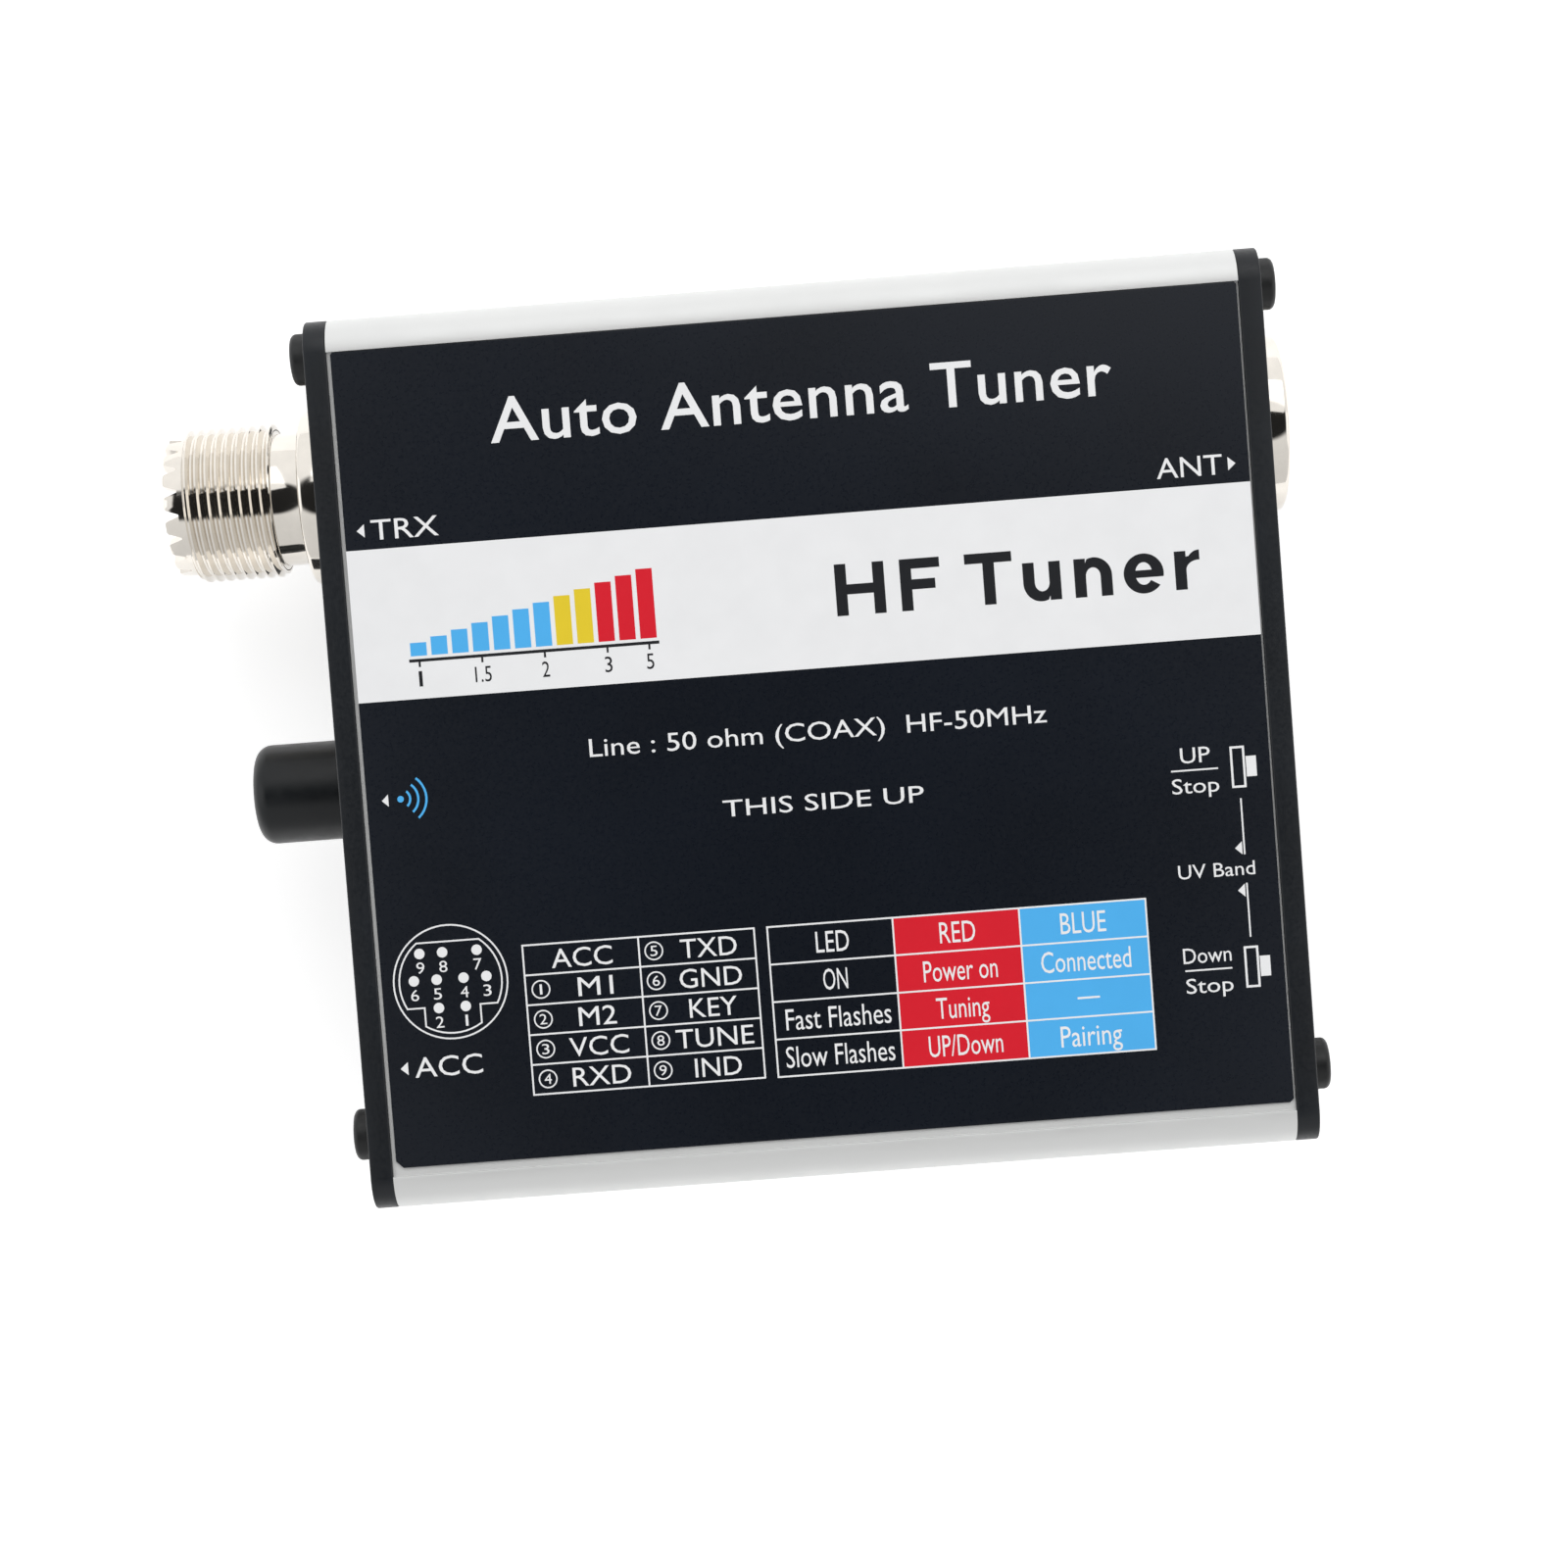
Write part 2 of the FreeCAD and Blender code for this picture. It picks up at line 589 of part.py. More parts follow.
def make_lead(label, side, inner_end):
    """Wire from a connector's solder tail down to the board."""
    x = (inner_end - D.tail_length - D.pigtail_radius) * side
    node(label, rod(label, "z", (x, RF_Y), (BOARD_TOP, MIDDLE_Z + D.tail_radius),
                    D.pigtail_radius))


def make_ant_socket():
    """Flanged antenna socket with a threaded bore, on the +X end plate."""
    inner_end = rear_fastening("ant", 1)
    flange_end = PLATE_FACE + D.flange_thickness
    solid = fuse("ant_solid", [
        rod("ant_barrel", "x", RF_CENTRE, outward(1, inner_end, flange_end), D.barrel_radius),
        rod("ant_flange", "x", RF_CENTRE, outward(1, PLATE_FACE, flange_end),
            D.flange_radius),
    ])
    floor = flange_end - D.stud_depth
    thread = rod("ant_thread", "x", RF_CENTRE, outward(1, floor, flange_end + 1),
                 D.stud_radius)
    through = rod("ant_through", "x", RF_CENTRE, outward(1, inner_end - 1, flange_end),
                  D.contact_radius)
    node("ant_socket_body", cut("ant_socket_body", solid, [thread, through]))
    node("ant_socket_insulator", tube(
        "ant_insulator", "x", RF_CENTRE, outward(1, inner_end, floor),
        D.contact_radius - D.fit_gap, D.tail_radius + D.fit_gap))
    node("ant_socket_contact", rod(
        "ant_contact", "x", RF_CENTRE,
        outward(1, inner_end - D.tail_length, floor), D.tail_radius))
    make_lead("ant_lead", 1, inner_end)


def make_stub_antenna():
    """Wireless jack with its rubber-covered stub antenna, on the -X end plate."""
    flange_end = PLATE_FACE + D.coax_flange_thickness
    thread_end = flange_end + D.coax_thread_length
    washer_end = HALF_LENGTH - D.coax_washer_thickness
    nut_end = washer_end - D.coax_nut_thickness
    inner_end = nut_end - D.barrel_spare
    bore = D.coax_thread_radius + D.fit_gap
    solid = fuse("coax_solid", [
        rod("coax_thread", "x", STUB_CENTRE, outward(-1, inner_end, thread_end),
            D.coax_thread_radius),
        rod("coax_flange", "x", STUB_CENTRE, outward(-1, PLATE_FACE, flange_end),
            D.coax_flange_radius),
    ])
    through = rod("coax_through", "x", STUB_CENTRE,
                  outward(-1, inner_end - 1, thread_end + 1),
                  D.coax_dielectric_radius + D.fit_gap)
    node("wireless_jack_body", cut("coax_body", solid, [through]))
    node("wireless_jack_insulator", tube(
        "coax_insulator", "x", STUB_CENTRE, outward(-1, inner_end, thread_end - 1),
        D.coax_dielectric_radius, D.coax_pin_radius + D.fit_gap))
    node("wireless_jack_pin", rod(
        "coax_pin", "x", STUB_CENTRE,
        outward(-1, inner_end - D.tail_length, thread_end - 1), D.coax_pin_radius))
    node("wireless_jack_washer", tube(
        "coax_washer", "x", STUB_CENTRE, outward(-1, washer_end, HALF_LENGTH),
        D.coax_nut_radius, bore))
    nut = hexagon("coax_nut_blank", "x", STUB_CENTRE, outward(-1, nut_end, washer_end),
                  D.coax_nut_radius)
    nut_hole = rod("coax_nut_hole", "x", STUB_CENTRE,
                   outward(-1, nut_end - 1, washer_end + 1), bore)
    node("wireless_jack_nut", cut("coax_nut", nut, [nut_hole]))

    base = PLATE_FACE + D.stub_stand_off
    tip = PLATE_FACE + D.stub_length
    collar_start = flange_end + D.stub_stand_off
    collar_end = collar_start + D.collar_length
    round_start = tip - D.stub_round
    sleeve = fuse("sleeve_solid", [
        rod("sleeve_side", "x", STUB_CENTRE, outward(-1, base, round_start), D.stub_radius),
        rod("sleeve_end", "x", STUB_CENTRE, outward(-1, base, tip),
            D.stub_radius - D.stub_round),
        round_ring("sleeve_round", round_start),
    ])
    collar_room = rod("sleeve_collar_room", "x", STUB_CENTRE,
                      outward(-1, base - 1, collar_end), D.collar_radius + D.fit_gap)
    coil_end = collar_end + D.coil_length
    coil_room = rod("sleeve_coil_room", "x", STUB_CENTRE,
                    outward(-1, collar_end - 1, coil_end + D.fit_gap),
                    D.coil_radius + D.fit_gap)
    node("stub_antenna_sleeve", cut("sleeve", sleeve, [collar_room, coil_room]))
    collar = rod("collar_solid", "x", STUB_CENTRE, outward(-1, collar_start, collar_end),
                 D.collar_radius)
    collar_bore = rod("collar_bore", "x", STUB_CENTRE,
                      outward(-1, collar_start - 1, thread_end + D.stub_stand_off), bore)
    node("stub_antenna_collar", cut("collar", collar, [collar_bore]))

    node("stub_antenna_coil", tube("coil", "x", STUB_CENTRE, outward(-1, collar_end, coil_end),
                                   D.coil_radius, D.coil_radius - D.coil_wire))


def round_ring(name, start):
    """Rounding of the sleeve's tip."""
    ring = DOC.addObject("Part::Torus", name)
    bind(ring, "Radius1", D.stub_radius - D.stub_round)
    bind(ring, "Radius2", D.stub_round)
    along(ring, "x", STUB_CENTRE, -start)
    return ring


def acc_pins():
    """Pin places (y, z) seen from the open end: rows of three, four and two."""
    step = D.acc_row
    rows = [
        (1.0, (1.15, 0.3, -1.05)),
        (0.0, (1.4, 0.5, -0.5, -1.4)),
        (-1.0, (0.45, -0.5)),
    ]
    places = []
    for up, offsets in rows:
        for offset in offsets:
            places.append((ACC_Y + step * offset, MIDDLE_Z + step * up))
    return places


def make_acc_socket():
    """Nine-pin round accessory socket, on the -X end plate."""
    mouth = PLATE_FACE + D.acc_proud
    shell_back = mouth - D.acc_shell_length
    block_face = HALF_LENGTH - D.board_end_gap
    block_back = block_face - D.acc_body_length
    insert_face = mouth - D.acc_insert_set_back
    node("acc_socket_shell", tube("acc_shell", "x", ACC_CENTRE,
         outward(-1, shell_back, mouth), D.acc_radius, D.acc_radius - D.acc_shell_wall))
    seat = insert_face - D.acc_pin_depth - D.acc_insert_floor
    core = D.acc_radius - D.acc_shell_wall - D.fit_gap
    half = D.acc_body_size / 2
    blank = block("acc_block_blank", outward(-1, block_back, block_face),
                  (ACC_Y - half, ACC_Y + half), (BOARD_TOP, MIDDLE_Z + half))
    node("acc_socket_block", cut("acc_block", blank, [
        rod("acc_shell_room", "x", ACC_CENTRE, outward(-1, shell_back, block_face + 1),
            D.acc_radius + D.fit_gap),
        rod("acc_insert_room", "x", ACC_CENTRE, outward(-1, seat, block_face + 1),
            core + D.fit_gap),
    ]))
    insert = fuse("acc_insert_solid", [
        rod("acc_insert_core", "x", ACC_CENTRE, outward(-1, seat, block_face), core),
        rod("acc_insert_nose", "x", ACC_CENTRE, outward(-1, seat, insert_face),
            D.acc_insert_radius),
    ])
    tools = []
    contacts = []
    for index, centre in enumerate(acc_pins()):
        tools.append(rod("acc_bore_%d" % index, "x", centre,
                         outward(-1, insert_face - D.acc_pin_depth, insert_face + 1),
                         D.acc_pin_bore))
        contacts.append(rod("acc_contact_%d" % index, "x", centre,
                            outward(-1, insert_face - D.acc_pin_depth,
                                    insert_face - D.acc_pin_depth / 2),
                            D.acc_terminal_radius))
    key_y = centred(ACC_Y, D.acc_row)
    key_z = (MIDDLE_Z - D.acc_insert_radius - 1, MIDDLE_Z - D.acc_insert_radius + D.acc_key_depth)
    tools.append(block("acc_key", outward(-1, block_face, insert_face + 1), key_y, key_z))
    node("acc_socket_insert", cut("acc_insert", insert, tools))
    node("acc_socket_contacts", together("acc_contacts", contacts))


def make_board():
    end = HALF_LENGTH - D.board_end_gap
    edge = CAVITY_Y - D.board_play
    base = block("board_blank", (-end, end), (-edge, edge), (D.board_seat, BOARD_TOP))
    room = D.nut_radius + D.board_end_gap
    depth = D.washer_thickness + D.nut_thickness + D.barrel_spare + D.board_end_gap
    tools = []
    for side in (-1, 1):
        tools.append(block("board_notch_%d" % (side > 0),
                           outward(side, HALF_LENGTH - depth, HALF_LENGTH),
                           (RF_Y - room, RF_Y + room),
                           (D.board_seat - 1, BOARD_TOP + 1)))
    node("main_board", cut("main_board", base, tools))


def make_lamp(label, y):
    """Round lamp lying flat, its leads bent down to the board."""
    flange_end = HALF_LENGTH - D.lamp_set_back
    flange_start = flange_end - D.lamp_flange_thickness
    lens_end = PLATE_FACE + D.lamp_proud
    centre = (y, D.front_z)
    dome = DOC.addObject("Part::Sphere", label + "_dome")
    bind(dome, "Radius", D.lamp_radius)
    along(dome, "x", centre, lens_end)
    parts = [
        rod(label + "_flange", "x", centre, (flange_start, flange_end),
            D.lamp_flange_radius),
        rod(label + "_lens", "x", centre, (flange_start, lens_end), D.lamp_radius),
        dome,
    ]
    for index, offset in enumerate((-D.lamp_lead_pitch / 2, D.lamp_lead_pitch / 2)):
        lead_y = centred(y + offset, D.lamp_lead)
        low_x = flange_start - D.lamp_lead * 2
        parts.append(block("%s_lead_%d" % (label, index), (low_x, low_x + D.lamp_lead),
                           lead_y, (BOARD_TOP, D.front_z + D.lamp_lead / 2)))
        parts.append(block("%s_bend_%d" % (label, index), (low_x, flange_start), lead_y,
                           centred(D.front_z, D.lamp_lead)))
    node(label, fuse(label, parts))


def make_button(prefix, y):
    """Side-pressed switch: block, snap dome and the plunger that goes through the plate."""
    centre = (y, D.front_z)
    face = HALF_LENGTH - D.switch_gap
    back = face - D.switch_depth
    pocket_end = face - D.switch_front
    shoulder_end = pocket_end - D.fit_gap
    shoulder_start = shoulder_end - D.shoulder_thickness
    dome_face = shoulder_start - D.button_travel - D.fit_gap
    pocket_floor = dome_face - D.dome_thickness
    half = D.switch_size / 2
    shoulder_radius = D.button_radius + D.shoulder_step
    pocket_radius = shoulder_radius + D.guide_play * 2
    blank = block(prefix + "_block", (back, face), (y - half, y + half),
                  (BOARD_TOP, D.front_z + half))
    pocket = rod(prefix + "_pocket", "x", centre, (pocket_floor, pocket_end), pocket_radius)
    guide = rod(prefix + "_guide", "x", centre, (pocket_floor, face + 1),
                D.button_radius + D.guide_play)
    node(prefix + "_switch_body", cut(prefix + "_switch", blank, [pocket, guide]))

    tip = PLATE_FACE + D.button_proud
    edge = D.button_edge
    end = DOC.addObject("Part::Cone", prefix + "_end")
    bind(end, "Radius1", D.button_radius)
    bind(end, "Radius2", D.button_radius - edge)
    bind(end, "Height", edge)
    along(end, "x", centre, tip - edge)
    node(prefix + "_button", fuse(prefix + "_button", [
        rod(prefix + "_shoulder", "x", centre, (shoulder_start, shoulder_end),
            shoulder_radius),
        rod(prefix + "_stem", "x", centre, (shoulder_start, tip - edge), D.button_radius),
        end,
    ]))
    node(prefix + "_snap_dome", rod(
        prefix + "_dome", "x", centre, (pocket_floor, dome_face),
        shoulder_radius + D.guide_play))


def make_inductors():
    room = D.winding_depth
    core_low = BOARD_TOP + room
    core_high = core_low + D.core_height
    for index in range(2):
        number = index + 1
        centre = (D.inductor_x + D.inductor_pitch * index, D.inductor_y)
        name = "inductor_%d" % number
        node("inductor_core_%d" % number, tube(
            name + "_core", "z", centre, (core_low, core_high), D.core_radius, D.core_bore))
        wound = tube(name + "_wound", "z", centre, (BOARD_TOP, core_high + room),
                     D.core_radius + room, D.core_bore - room)
        inside = tube(name + "_inside", "z", centre,
                      (core_low - D.fit_gap, core_high + D.fit_gap),
                      D.core_radius + D.fit_gap, D.core_bore - D.fit_gap)
        node("inductor_winding_%d" % number, cut(name + "_winding", wound, [inside]))


def make_bridge():
    """Directional coupler core on the transceiver side, with the line wire through it."""
    centre = (D.bridge_x, RF_Y)
    span = (BOARD_TOP, BOARD_TOP + D.bridge_height)
    node("coupler_core", tube("coupler", "z", centre, span, D.bridge_radius, D.bridge_bore))
    node("coupler_wire", rod("coupler_wire", "z", centre,
                             (BOARD_TOP, span[1] + D.tail_radius), D.tail_radius))


def make_relays():
    for index in range(int(D.relay_count.value)):
        x = D.relay_x + D.relay_pitch * index
        node("relay_%d" % (index + 1), block(
            "relay_block_%d" % index, centred(x, D.relay_width),
            centred(D.relay_y, D.relay_length), (BOARD_TOP, BOARD_TOP + D.relay_height)))


def make_module():
    """Wireless module, its shield and the coax pigtail from the wireless jack."""
    board_high = BOARD_TOP + D.module_thickness
    node("wireless_board", block(
        "module", centred(D.module_x, D.module_length), centred(STUB_Y, D.module_width),
        (BOARD_TOP, board_high)))
    node("wireless_shield", block(
        "shield", centred(D.module_x + 2, D.shield_length),
        centred(STUB_Y, D.shield_width), (board_high, board_high + D.shield_height)))
    inner_end = HALF_LENGTH - D.coax_washer_thickness - D.coax_nut_thickness - D.barrel_spare
    x = -(inner_end - D.tail_length - D.pigtail_radius)
    node("wireless_pigtail", rod("pigtail", "z", (x, STUB_Y),
                                 (BOARD_TOP, MIDDLE_Z + D.pigtail_radius),
                                 D.pigtail_radius))


def make_small_parts():
    """Logic and power parts on the board."""
    node("controller_chip", block("controller", centred(14, 10), centred(-4, 10),
                                  (BOARD_TOP, BOARD_TOP + 1.4)))
    node("regulator", block("regulator", centred(30, 7), centred(-2, 6.6),
                            (BOARD_TOP, BOARD_TOP + 2.3)))
    reservoir = [rod("reservoir_%d" % index, "z", (x, 4), (BOARD_TOP, BOARD_TOP + 8), 3.15)
                 for index, x in enumerate((-8, 0))]
    node("reservoir_capacitors", together("reservoirs", reservoir))
    tuning = [block("tuning_%d" % index, centred(-8 + 7 * index, 5), centred(-10, 3),
                    (BOARD_TOP, BOARD_TOP + 4))
              for index in range(3)]
    node("tuning_capacitors", together("tunings", tuning))


def check_and_export():
    DOC.recompute()
    for item in DOC.Objects:
        bad = [state for state in item.State if state in ("Invalid", "Error")]
        if bad:
            raise RuntimeError("%s is in state %s" % (item.Name, bad))
    os.makedirs("parts", exist_ok=True)
    for item in NODES:
        shape = item.Shape
        if shape.isNull() or not shape.isValid() or not shape.Solids:
            raise RuntimeError("%s has no valid solid" % item.Label)
        shape.exportStep("parts/%s.step" % item.Label)
    print("%d nodes" % len(NODES))


def main():
    make_case()
    make_plates()
    make_film()
    make_screws("left_plate_screws", -1)
    make_screws("right_plate_screws", 1)
    make_trx_jack()
    make_ant_socket()
    make_stub_antenna()
    make_acc_socket()
    make_board()
    make_lamp("lamp_red", LAMP_RED_Y)
    make_lamp("lamp_blue", LAMP_BLUE_Y)
    make_lamp("lamp_band", LAMP_BAND_Y)
    make_button("up", UP_Y)
    make_button("down", DOWN_Y)
    make_inductors()
    make_bridge()
    make_relays()
    make_module()
    make_small_parts()
    check_and_export()


main()
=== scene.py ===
import math

import bmesh
import bpy
from bpy.props import FloatProperty, FloatVectorProperty, IntProperty, PointerProperty
from bpy.types import Operator, Panel, PropertyGroup
from mathutils import Matrix, Vector


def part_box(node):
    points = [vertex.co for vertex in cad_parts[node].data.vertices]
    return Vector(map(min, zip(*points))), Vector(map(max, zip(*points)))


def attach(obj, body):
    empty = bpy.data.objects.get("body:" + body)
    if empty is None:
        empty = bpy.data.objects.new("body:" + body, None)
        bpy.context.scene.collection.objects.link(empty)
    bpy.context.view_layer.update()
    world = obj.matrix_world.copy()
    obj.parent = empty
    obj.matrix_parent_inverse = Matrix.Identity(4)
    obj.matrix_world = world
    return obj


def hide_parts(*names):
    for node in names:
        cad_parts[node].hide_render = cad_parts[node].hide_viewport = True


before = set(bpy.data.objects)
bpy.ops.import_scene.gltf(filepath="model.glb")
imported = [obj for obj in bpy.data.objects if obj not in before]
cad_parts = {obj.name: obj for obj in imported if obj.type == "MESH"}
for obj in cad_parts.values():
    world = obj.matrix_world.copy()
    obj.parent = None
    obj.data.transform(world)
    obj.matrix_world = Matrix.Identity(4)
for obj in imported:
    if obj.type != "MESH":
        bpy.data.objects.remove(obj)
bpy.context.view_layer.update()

bl_info = {
    "name": "Antenna Tuner Box",
    "version": (1, 0, 0),
    "blender": (4, 5, 0),
    "location": "View3D > Sidebar > Tuner",
    "description": "Makes the case, sockets, stub antenna, buttons and printed top of a tuner",
    "category": "Object",
}

MM = 0.001
SAME_PLACE = 1e-7  # vertices nearer than this are one
CAPITAL = 0.682  # height of a capital letter in the built-in font at size 1

BARREL = 6.0 * MM  # radius of a radio connector where it passes through its end plate
FLANGE = 9.05 * MM  # radius of its flange
SCREW_HEAD = 2.55 * MM
LAMP_FLANGE = 1.9 * MM
LAMP_LENS = 1.5 * MM


# ---------------------------------------------------------------- helpers

def mm(*values):
    """Lengths given in millimetres, as a list."""
    return [value * MM for value in values]


def link(obj):
    """Put a new object in the scene."""
    bpy.context.scene.collection.objects.link(obj)
    return obj


def new_node(tree, kind, inputs=None, **settings):
    """Add a node; inputs maps its sockets to values or to other nodes' outputs."""
    node = tree.nodes.new(kind)
    for key, value in settings.items():
        setattr(node, key, value)
    for key, value in (inputs or {}).items():
        if isinstance(value, bpy.types.NodeSocket):
            tree.links.new(value, node.inputs[key])
        else:
            node.inputs[key].default_value = value
    return node


def settle(piece, slot, *nodes, body="case", finish=None):
    """Give a finished piece its finish, hide the CAD nodes it replaces and attach it to the body
    it moves with.
    """
    piece.data.materials.clear()
    piece.data.materials.append(finishes()[finish or slot])
    if nodes:
        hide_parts(*nodes)
    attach(piece, body)


def plain_mesh(name, bm):
    """Write a bmesh to a new mesh and free it."""
    mesh = bpy.data.meshes.new(name)
    bm.to_mesh(mesh)
    bm.free()
    return mesh


def mesh_piece(name, bm, smooth_angle=35.0):
    """Turn a bmesh into an object with outward faces and soft shading on its curves."""
    bmesh.ops.remove_doubles(bm, verts=bm.verts, dist=SAME_PLACE)
    bmesh.ops.recalc_face_normals(bm, faces=bm.faces)
    mesh = plain_mesh(name, bm)
    mesh.shade_smooth()
    mesh.set_sharp_from_angle(angle=math.radians(smooth_angle))
    return link(bpy.data.objects.new(name, mesh))


def evaluated_mesh(obj, name):
    """Plain mesh of an object with its modifiers applied; the object is removed."""
    bpy.context.view_layer.update()
    graph = bpy.context.evaluated_depsgraph_get()
    mesh = bpy.data.meshes.new_from_object(obj.evaluated_get(graph))
    mesh.name = name
    bpy.data.objects.remove(obj)
    return mesh


def box_and_axis(node):
    """A CAD node's box, and the place (y, z) of the X axis through its middle."""
    low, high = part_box(node)
    return low, high, ((low.y + high.y) / 2, (low.z + high.z) / 2)


def half_height(node):
    low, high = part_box(node)
    return (high.z - low.z) / 2


def bridge(bm, first, second):
    """Quads between two rings that have the same number of vertices."""
    for index, corner in enumerate(first):
        following = (index + 1) % len(first)
        bm.faces.new((corner, first[following], second[following], second[index]))


def turned_shape(profile, centre, steps=96, closed=True):
    """Revolve (x, radius) points about the X axis through centre (y, z).

    A third value in a point gives its ring that many flat sides."""
    bm = bmesh.new()
    rings = []
    for x, radius, *sides in profile:
        if radius < SAME_PLACE:
            rings.append([bm.verts.new((x, centre[0], centre[1]))])
            continue
        ring = []
        for step in range(steps):
            angle = 2 * math.pi * step / steps
            reach = radius
            if sides:
                sector = math.pi / sides[0]
                reach *= math.cos(sector) / math.cos(angle % (2 * sector) - sector)
            ring.append(bm.verts.new((x, centre[0] + reach * math.cos(angle),
                                      centre[1] + reach * math.sin(angle))))
        rings.append(ring)
    pairs = list(zip(rings, rings[1:]))
    if closed:
        pairs.append((rings[-1], rings[0]))
    for first, second in pairs:
        if len(first) == 1 and len(second) == 1:
            continue
        for step in range(steps):
            following = (step + 1) % steps
            corners = [first[step % len(first)], first[following % len(first)],
                       second[following % len(second)], second[step % len(second)]]
            bm.faces.new(list(dict.fromkeys(corners)))
    bmesh.ops.recalc_face_normals(bm, faces=bm.faces)
    return bm


def turned_piece(name, slot, node, outline, rounding, closed=True, steps=96, corner_steps=4,
                 body="case", middle=None):
    """A piece turned from an outline with eased corners, about middle or its node's axis."""
    profile = eased(outline, rounding, closed, corner_steps)
    bm = turned_shape(profile, middle or box_and_axis(node)[2], steps, closed)
    settle(mesh_piece(name, bm), slot, node, body=body)


def part_turned(profile, sweep, steps):
    """A closed profile turned only part of the way round the X axis, its ends closed."""
    bm = bmesh.new()
    rows = []
    for step in range(steps + 1):
        angle = math.radians(sweep) * (step / steps - 0.5)
        rows.append([bm.verts.new((x, r * math.sin(angle), r * math.cos(angle)))
                     for x, r in profile])
    for first, second in zip(rows, rows[1:]):
        bridge(bm, first, second)
    for row in (rows[0], rows[-1]):
        bm.faces.new(row)
    bmesh.ops.recalc_face_normals(bm, faces=bm.faces)
    return plain_mesh("part_turned", bm)


def across_x(start):
    """Lays a plate drawn in XY across the X axis, from x = start on."""
    return Matrix(((0, 0, 1, start), (1, 0, 0, 0), (0, 1, 0, 0), (0, 0, 0, 1)))


def rounded_corner(corner, before, after, radius, steps=4):
    """Points of an arc that rounds one corner of a profile."""
    corner = Vector(corner)
    to_before = (Vector(before) - corner).normalized()
    to_after = (Vector(after) - corner).normalized()
    half = to_before.angle(to_after) / 2
    reach = radius / math.tan(half)
    start = corner + to_before * reach
    end = corner + to_after * reach
    middle = corner + (to_before + to_after).normalized() * (radius / math.sin(half))
    first = start - middle
    last = end - middle
    sweep = first.angle(last)
    points = []
    for step in range(steps + 1):
        part = step / steps
        weight_a = math.sin((1 - part) * sweep) / math.sin(sweep)
        weight_b = math.sin(part * sweep) / math.sin(sweep)
        points.append(tuple(middle + first * weight_a + last * weight_b))
    return points


def eased(points, radius, closed=True, steps=4):
    """Round every corner of a profile; radius is one value or one for each corner."""
    count = len(points)
    radii = radius if isinstance(radius, (list, tuple)) else [radius] * count
    result = []
    for index, point in enumerate(points):
        ends = not closed and index in (0, count - 1)
        if ends or radii[index] <= 0:
            result.append(tuple(point))
            continue
        result += rounded_corner(point, points[index - 1], points[(index + 1) % count],
                                 radii[index], steps)
    return result


# ---------------------------------------------------------------- materials

class Nodes:
    """Shorthand for building one material's node tree."""

    def __init__(self, name, **values):
        """values sets the shader's sockets that are the same all over."""
        self.material = bpy.data.materials.new(name)
        self.material.use_nodes = True
        self.tree = self.material.node_tree
        self.shader = self.tree.nodes["Principled BSDF"]
        self.coords = self.add("ShaderNodeTexCoord").outputs["Object"]
        for key, value in values.items():
            self.shader.inputs[key.replace("_", " ")].default_value = value

    def add(self, kind, inputs=None, **settings):
        return new_node(self.tree, kind, inputs, **settings)

    def wire(self, output, socket):
        """Lead an output to one of the shader's sockets."""
        self.tree.links.new(output, self.shader.inputs[socket])

    def noise(self, scale, detail=3.0, roughness=0.55, stretch=(1, 1, 1)):
        """Noise over the object's coordinates, scaled on each axis by stretch."""
        place = self.add("ShaderNodeMapping", {"Vector": self.coords, "Scale": stretch})
        return self.add("ShaderNodeTexNoise", {
            "Vector": place.outputs["Vector"], "Scale": scale, "Detail": detail,
            "Roughness": roughness}).outputs["Fac"]

    def ramp(self, value, stops):
        """Colour ramp between two (place, colour) stops."""
        node = self.add("ShaderNodeValToRGB", {"Fac": value})
        for element, (place, colour) in zip(node.color_ramp.elements, stops):
            element.position = place
            element.color = (*colour, 1.0)
        return node.outputs["Color"]

    def spread(self, value, low, high, low_in=0.3, high_in=0.7):
        """Map the range from low_in to high_in to another."""
        return self.add("ShaderNodeMapRange", {
            "Value": value, "From Min": low_in, "From Max": high_in, "To Min": low,
            "To Max": high}).outputs["Result"]

    def maths(self, kind, first, second):
        return self.add("ShaderNodeMath", {0: first, 1: second},
                        operation=kind).outputs["Value"]

    def bump(self, height, strength, distance):
        node = self.add("ShaderNodeBump", {"Height": height, "Strength": strength,
                                           "Distance": distance})
        self.wire(node.outputs["Normal"], "Normal")

    def colour(self, output):
        self.wire(output, "Base Color")

    def rough(self, output):
        self.wire(output, "Roughness")

    def mottled(self, colour, change, scale, detail, roughness):
        """Soft patches a little darker and a little lighter than a colour."""
        cloud = self.noise(scale, detail, roughness)
        dark, light = shades(colour, change)
        self.colour(self.ramp(cloud, ((0.3, dark), (0.7, light))))
        return cloud


def shades(colour, spread):
    """A darker and a lighter version of a colour."""
    dark = tuple(channel * (1 - spread) for channel in colour[:3])
    light = tuple(min(1.0, channel * (1 + spread)) for channel in colour[:3])
    return dark, light


def satin_aluminium(name, colour):
    """Anodised extrusion: fine die lines along X over a soft mottle."""
    n = Nodes(name, Metallic=0.55, Specular_IOR_Level=0.4)
    lines = n.noise(900, 2.0, 0.6, (0.004, 1, 1))
    dark, light = shades(colour, 0.05)
    n.colour(n.ramp(n.maths("MULTIPLY_ADD", lines, 0.6), ((0.15, dark), (0.55, light))))
    n.rough(n.spread(n.noise(160, 3.0, 0.5), 0.50, 0.60))
    n.bump(lines, 0.25, 0.00002)
    return n.material


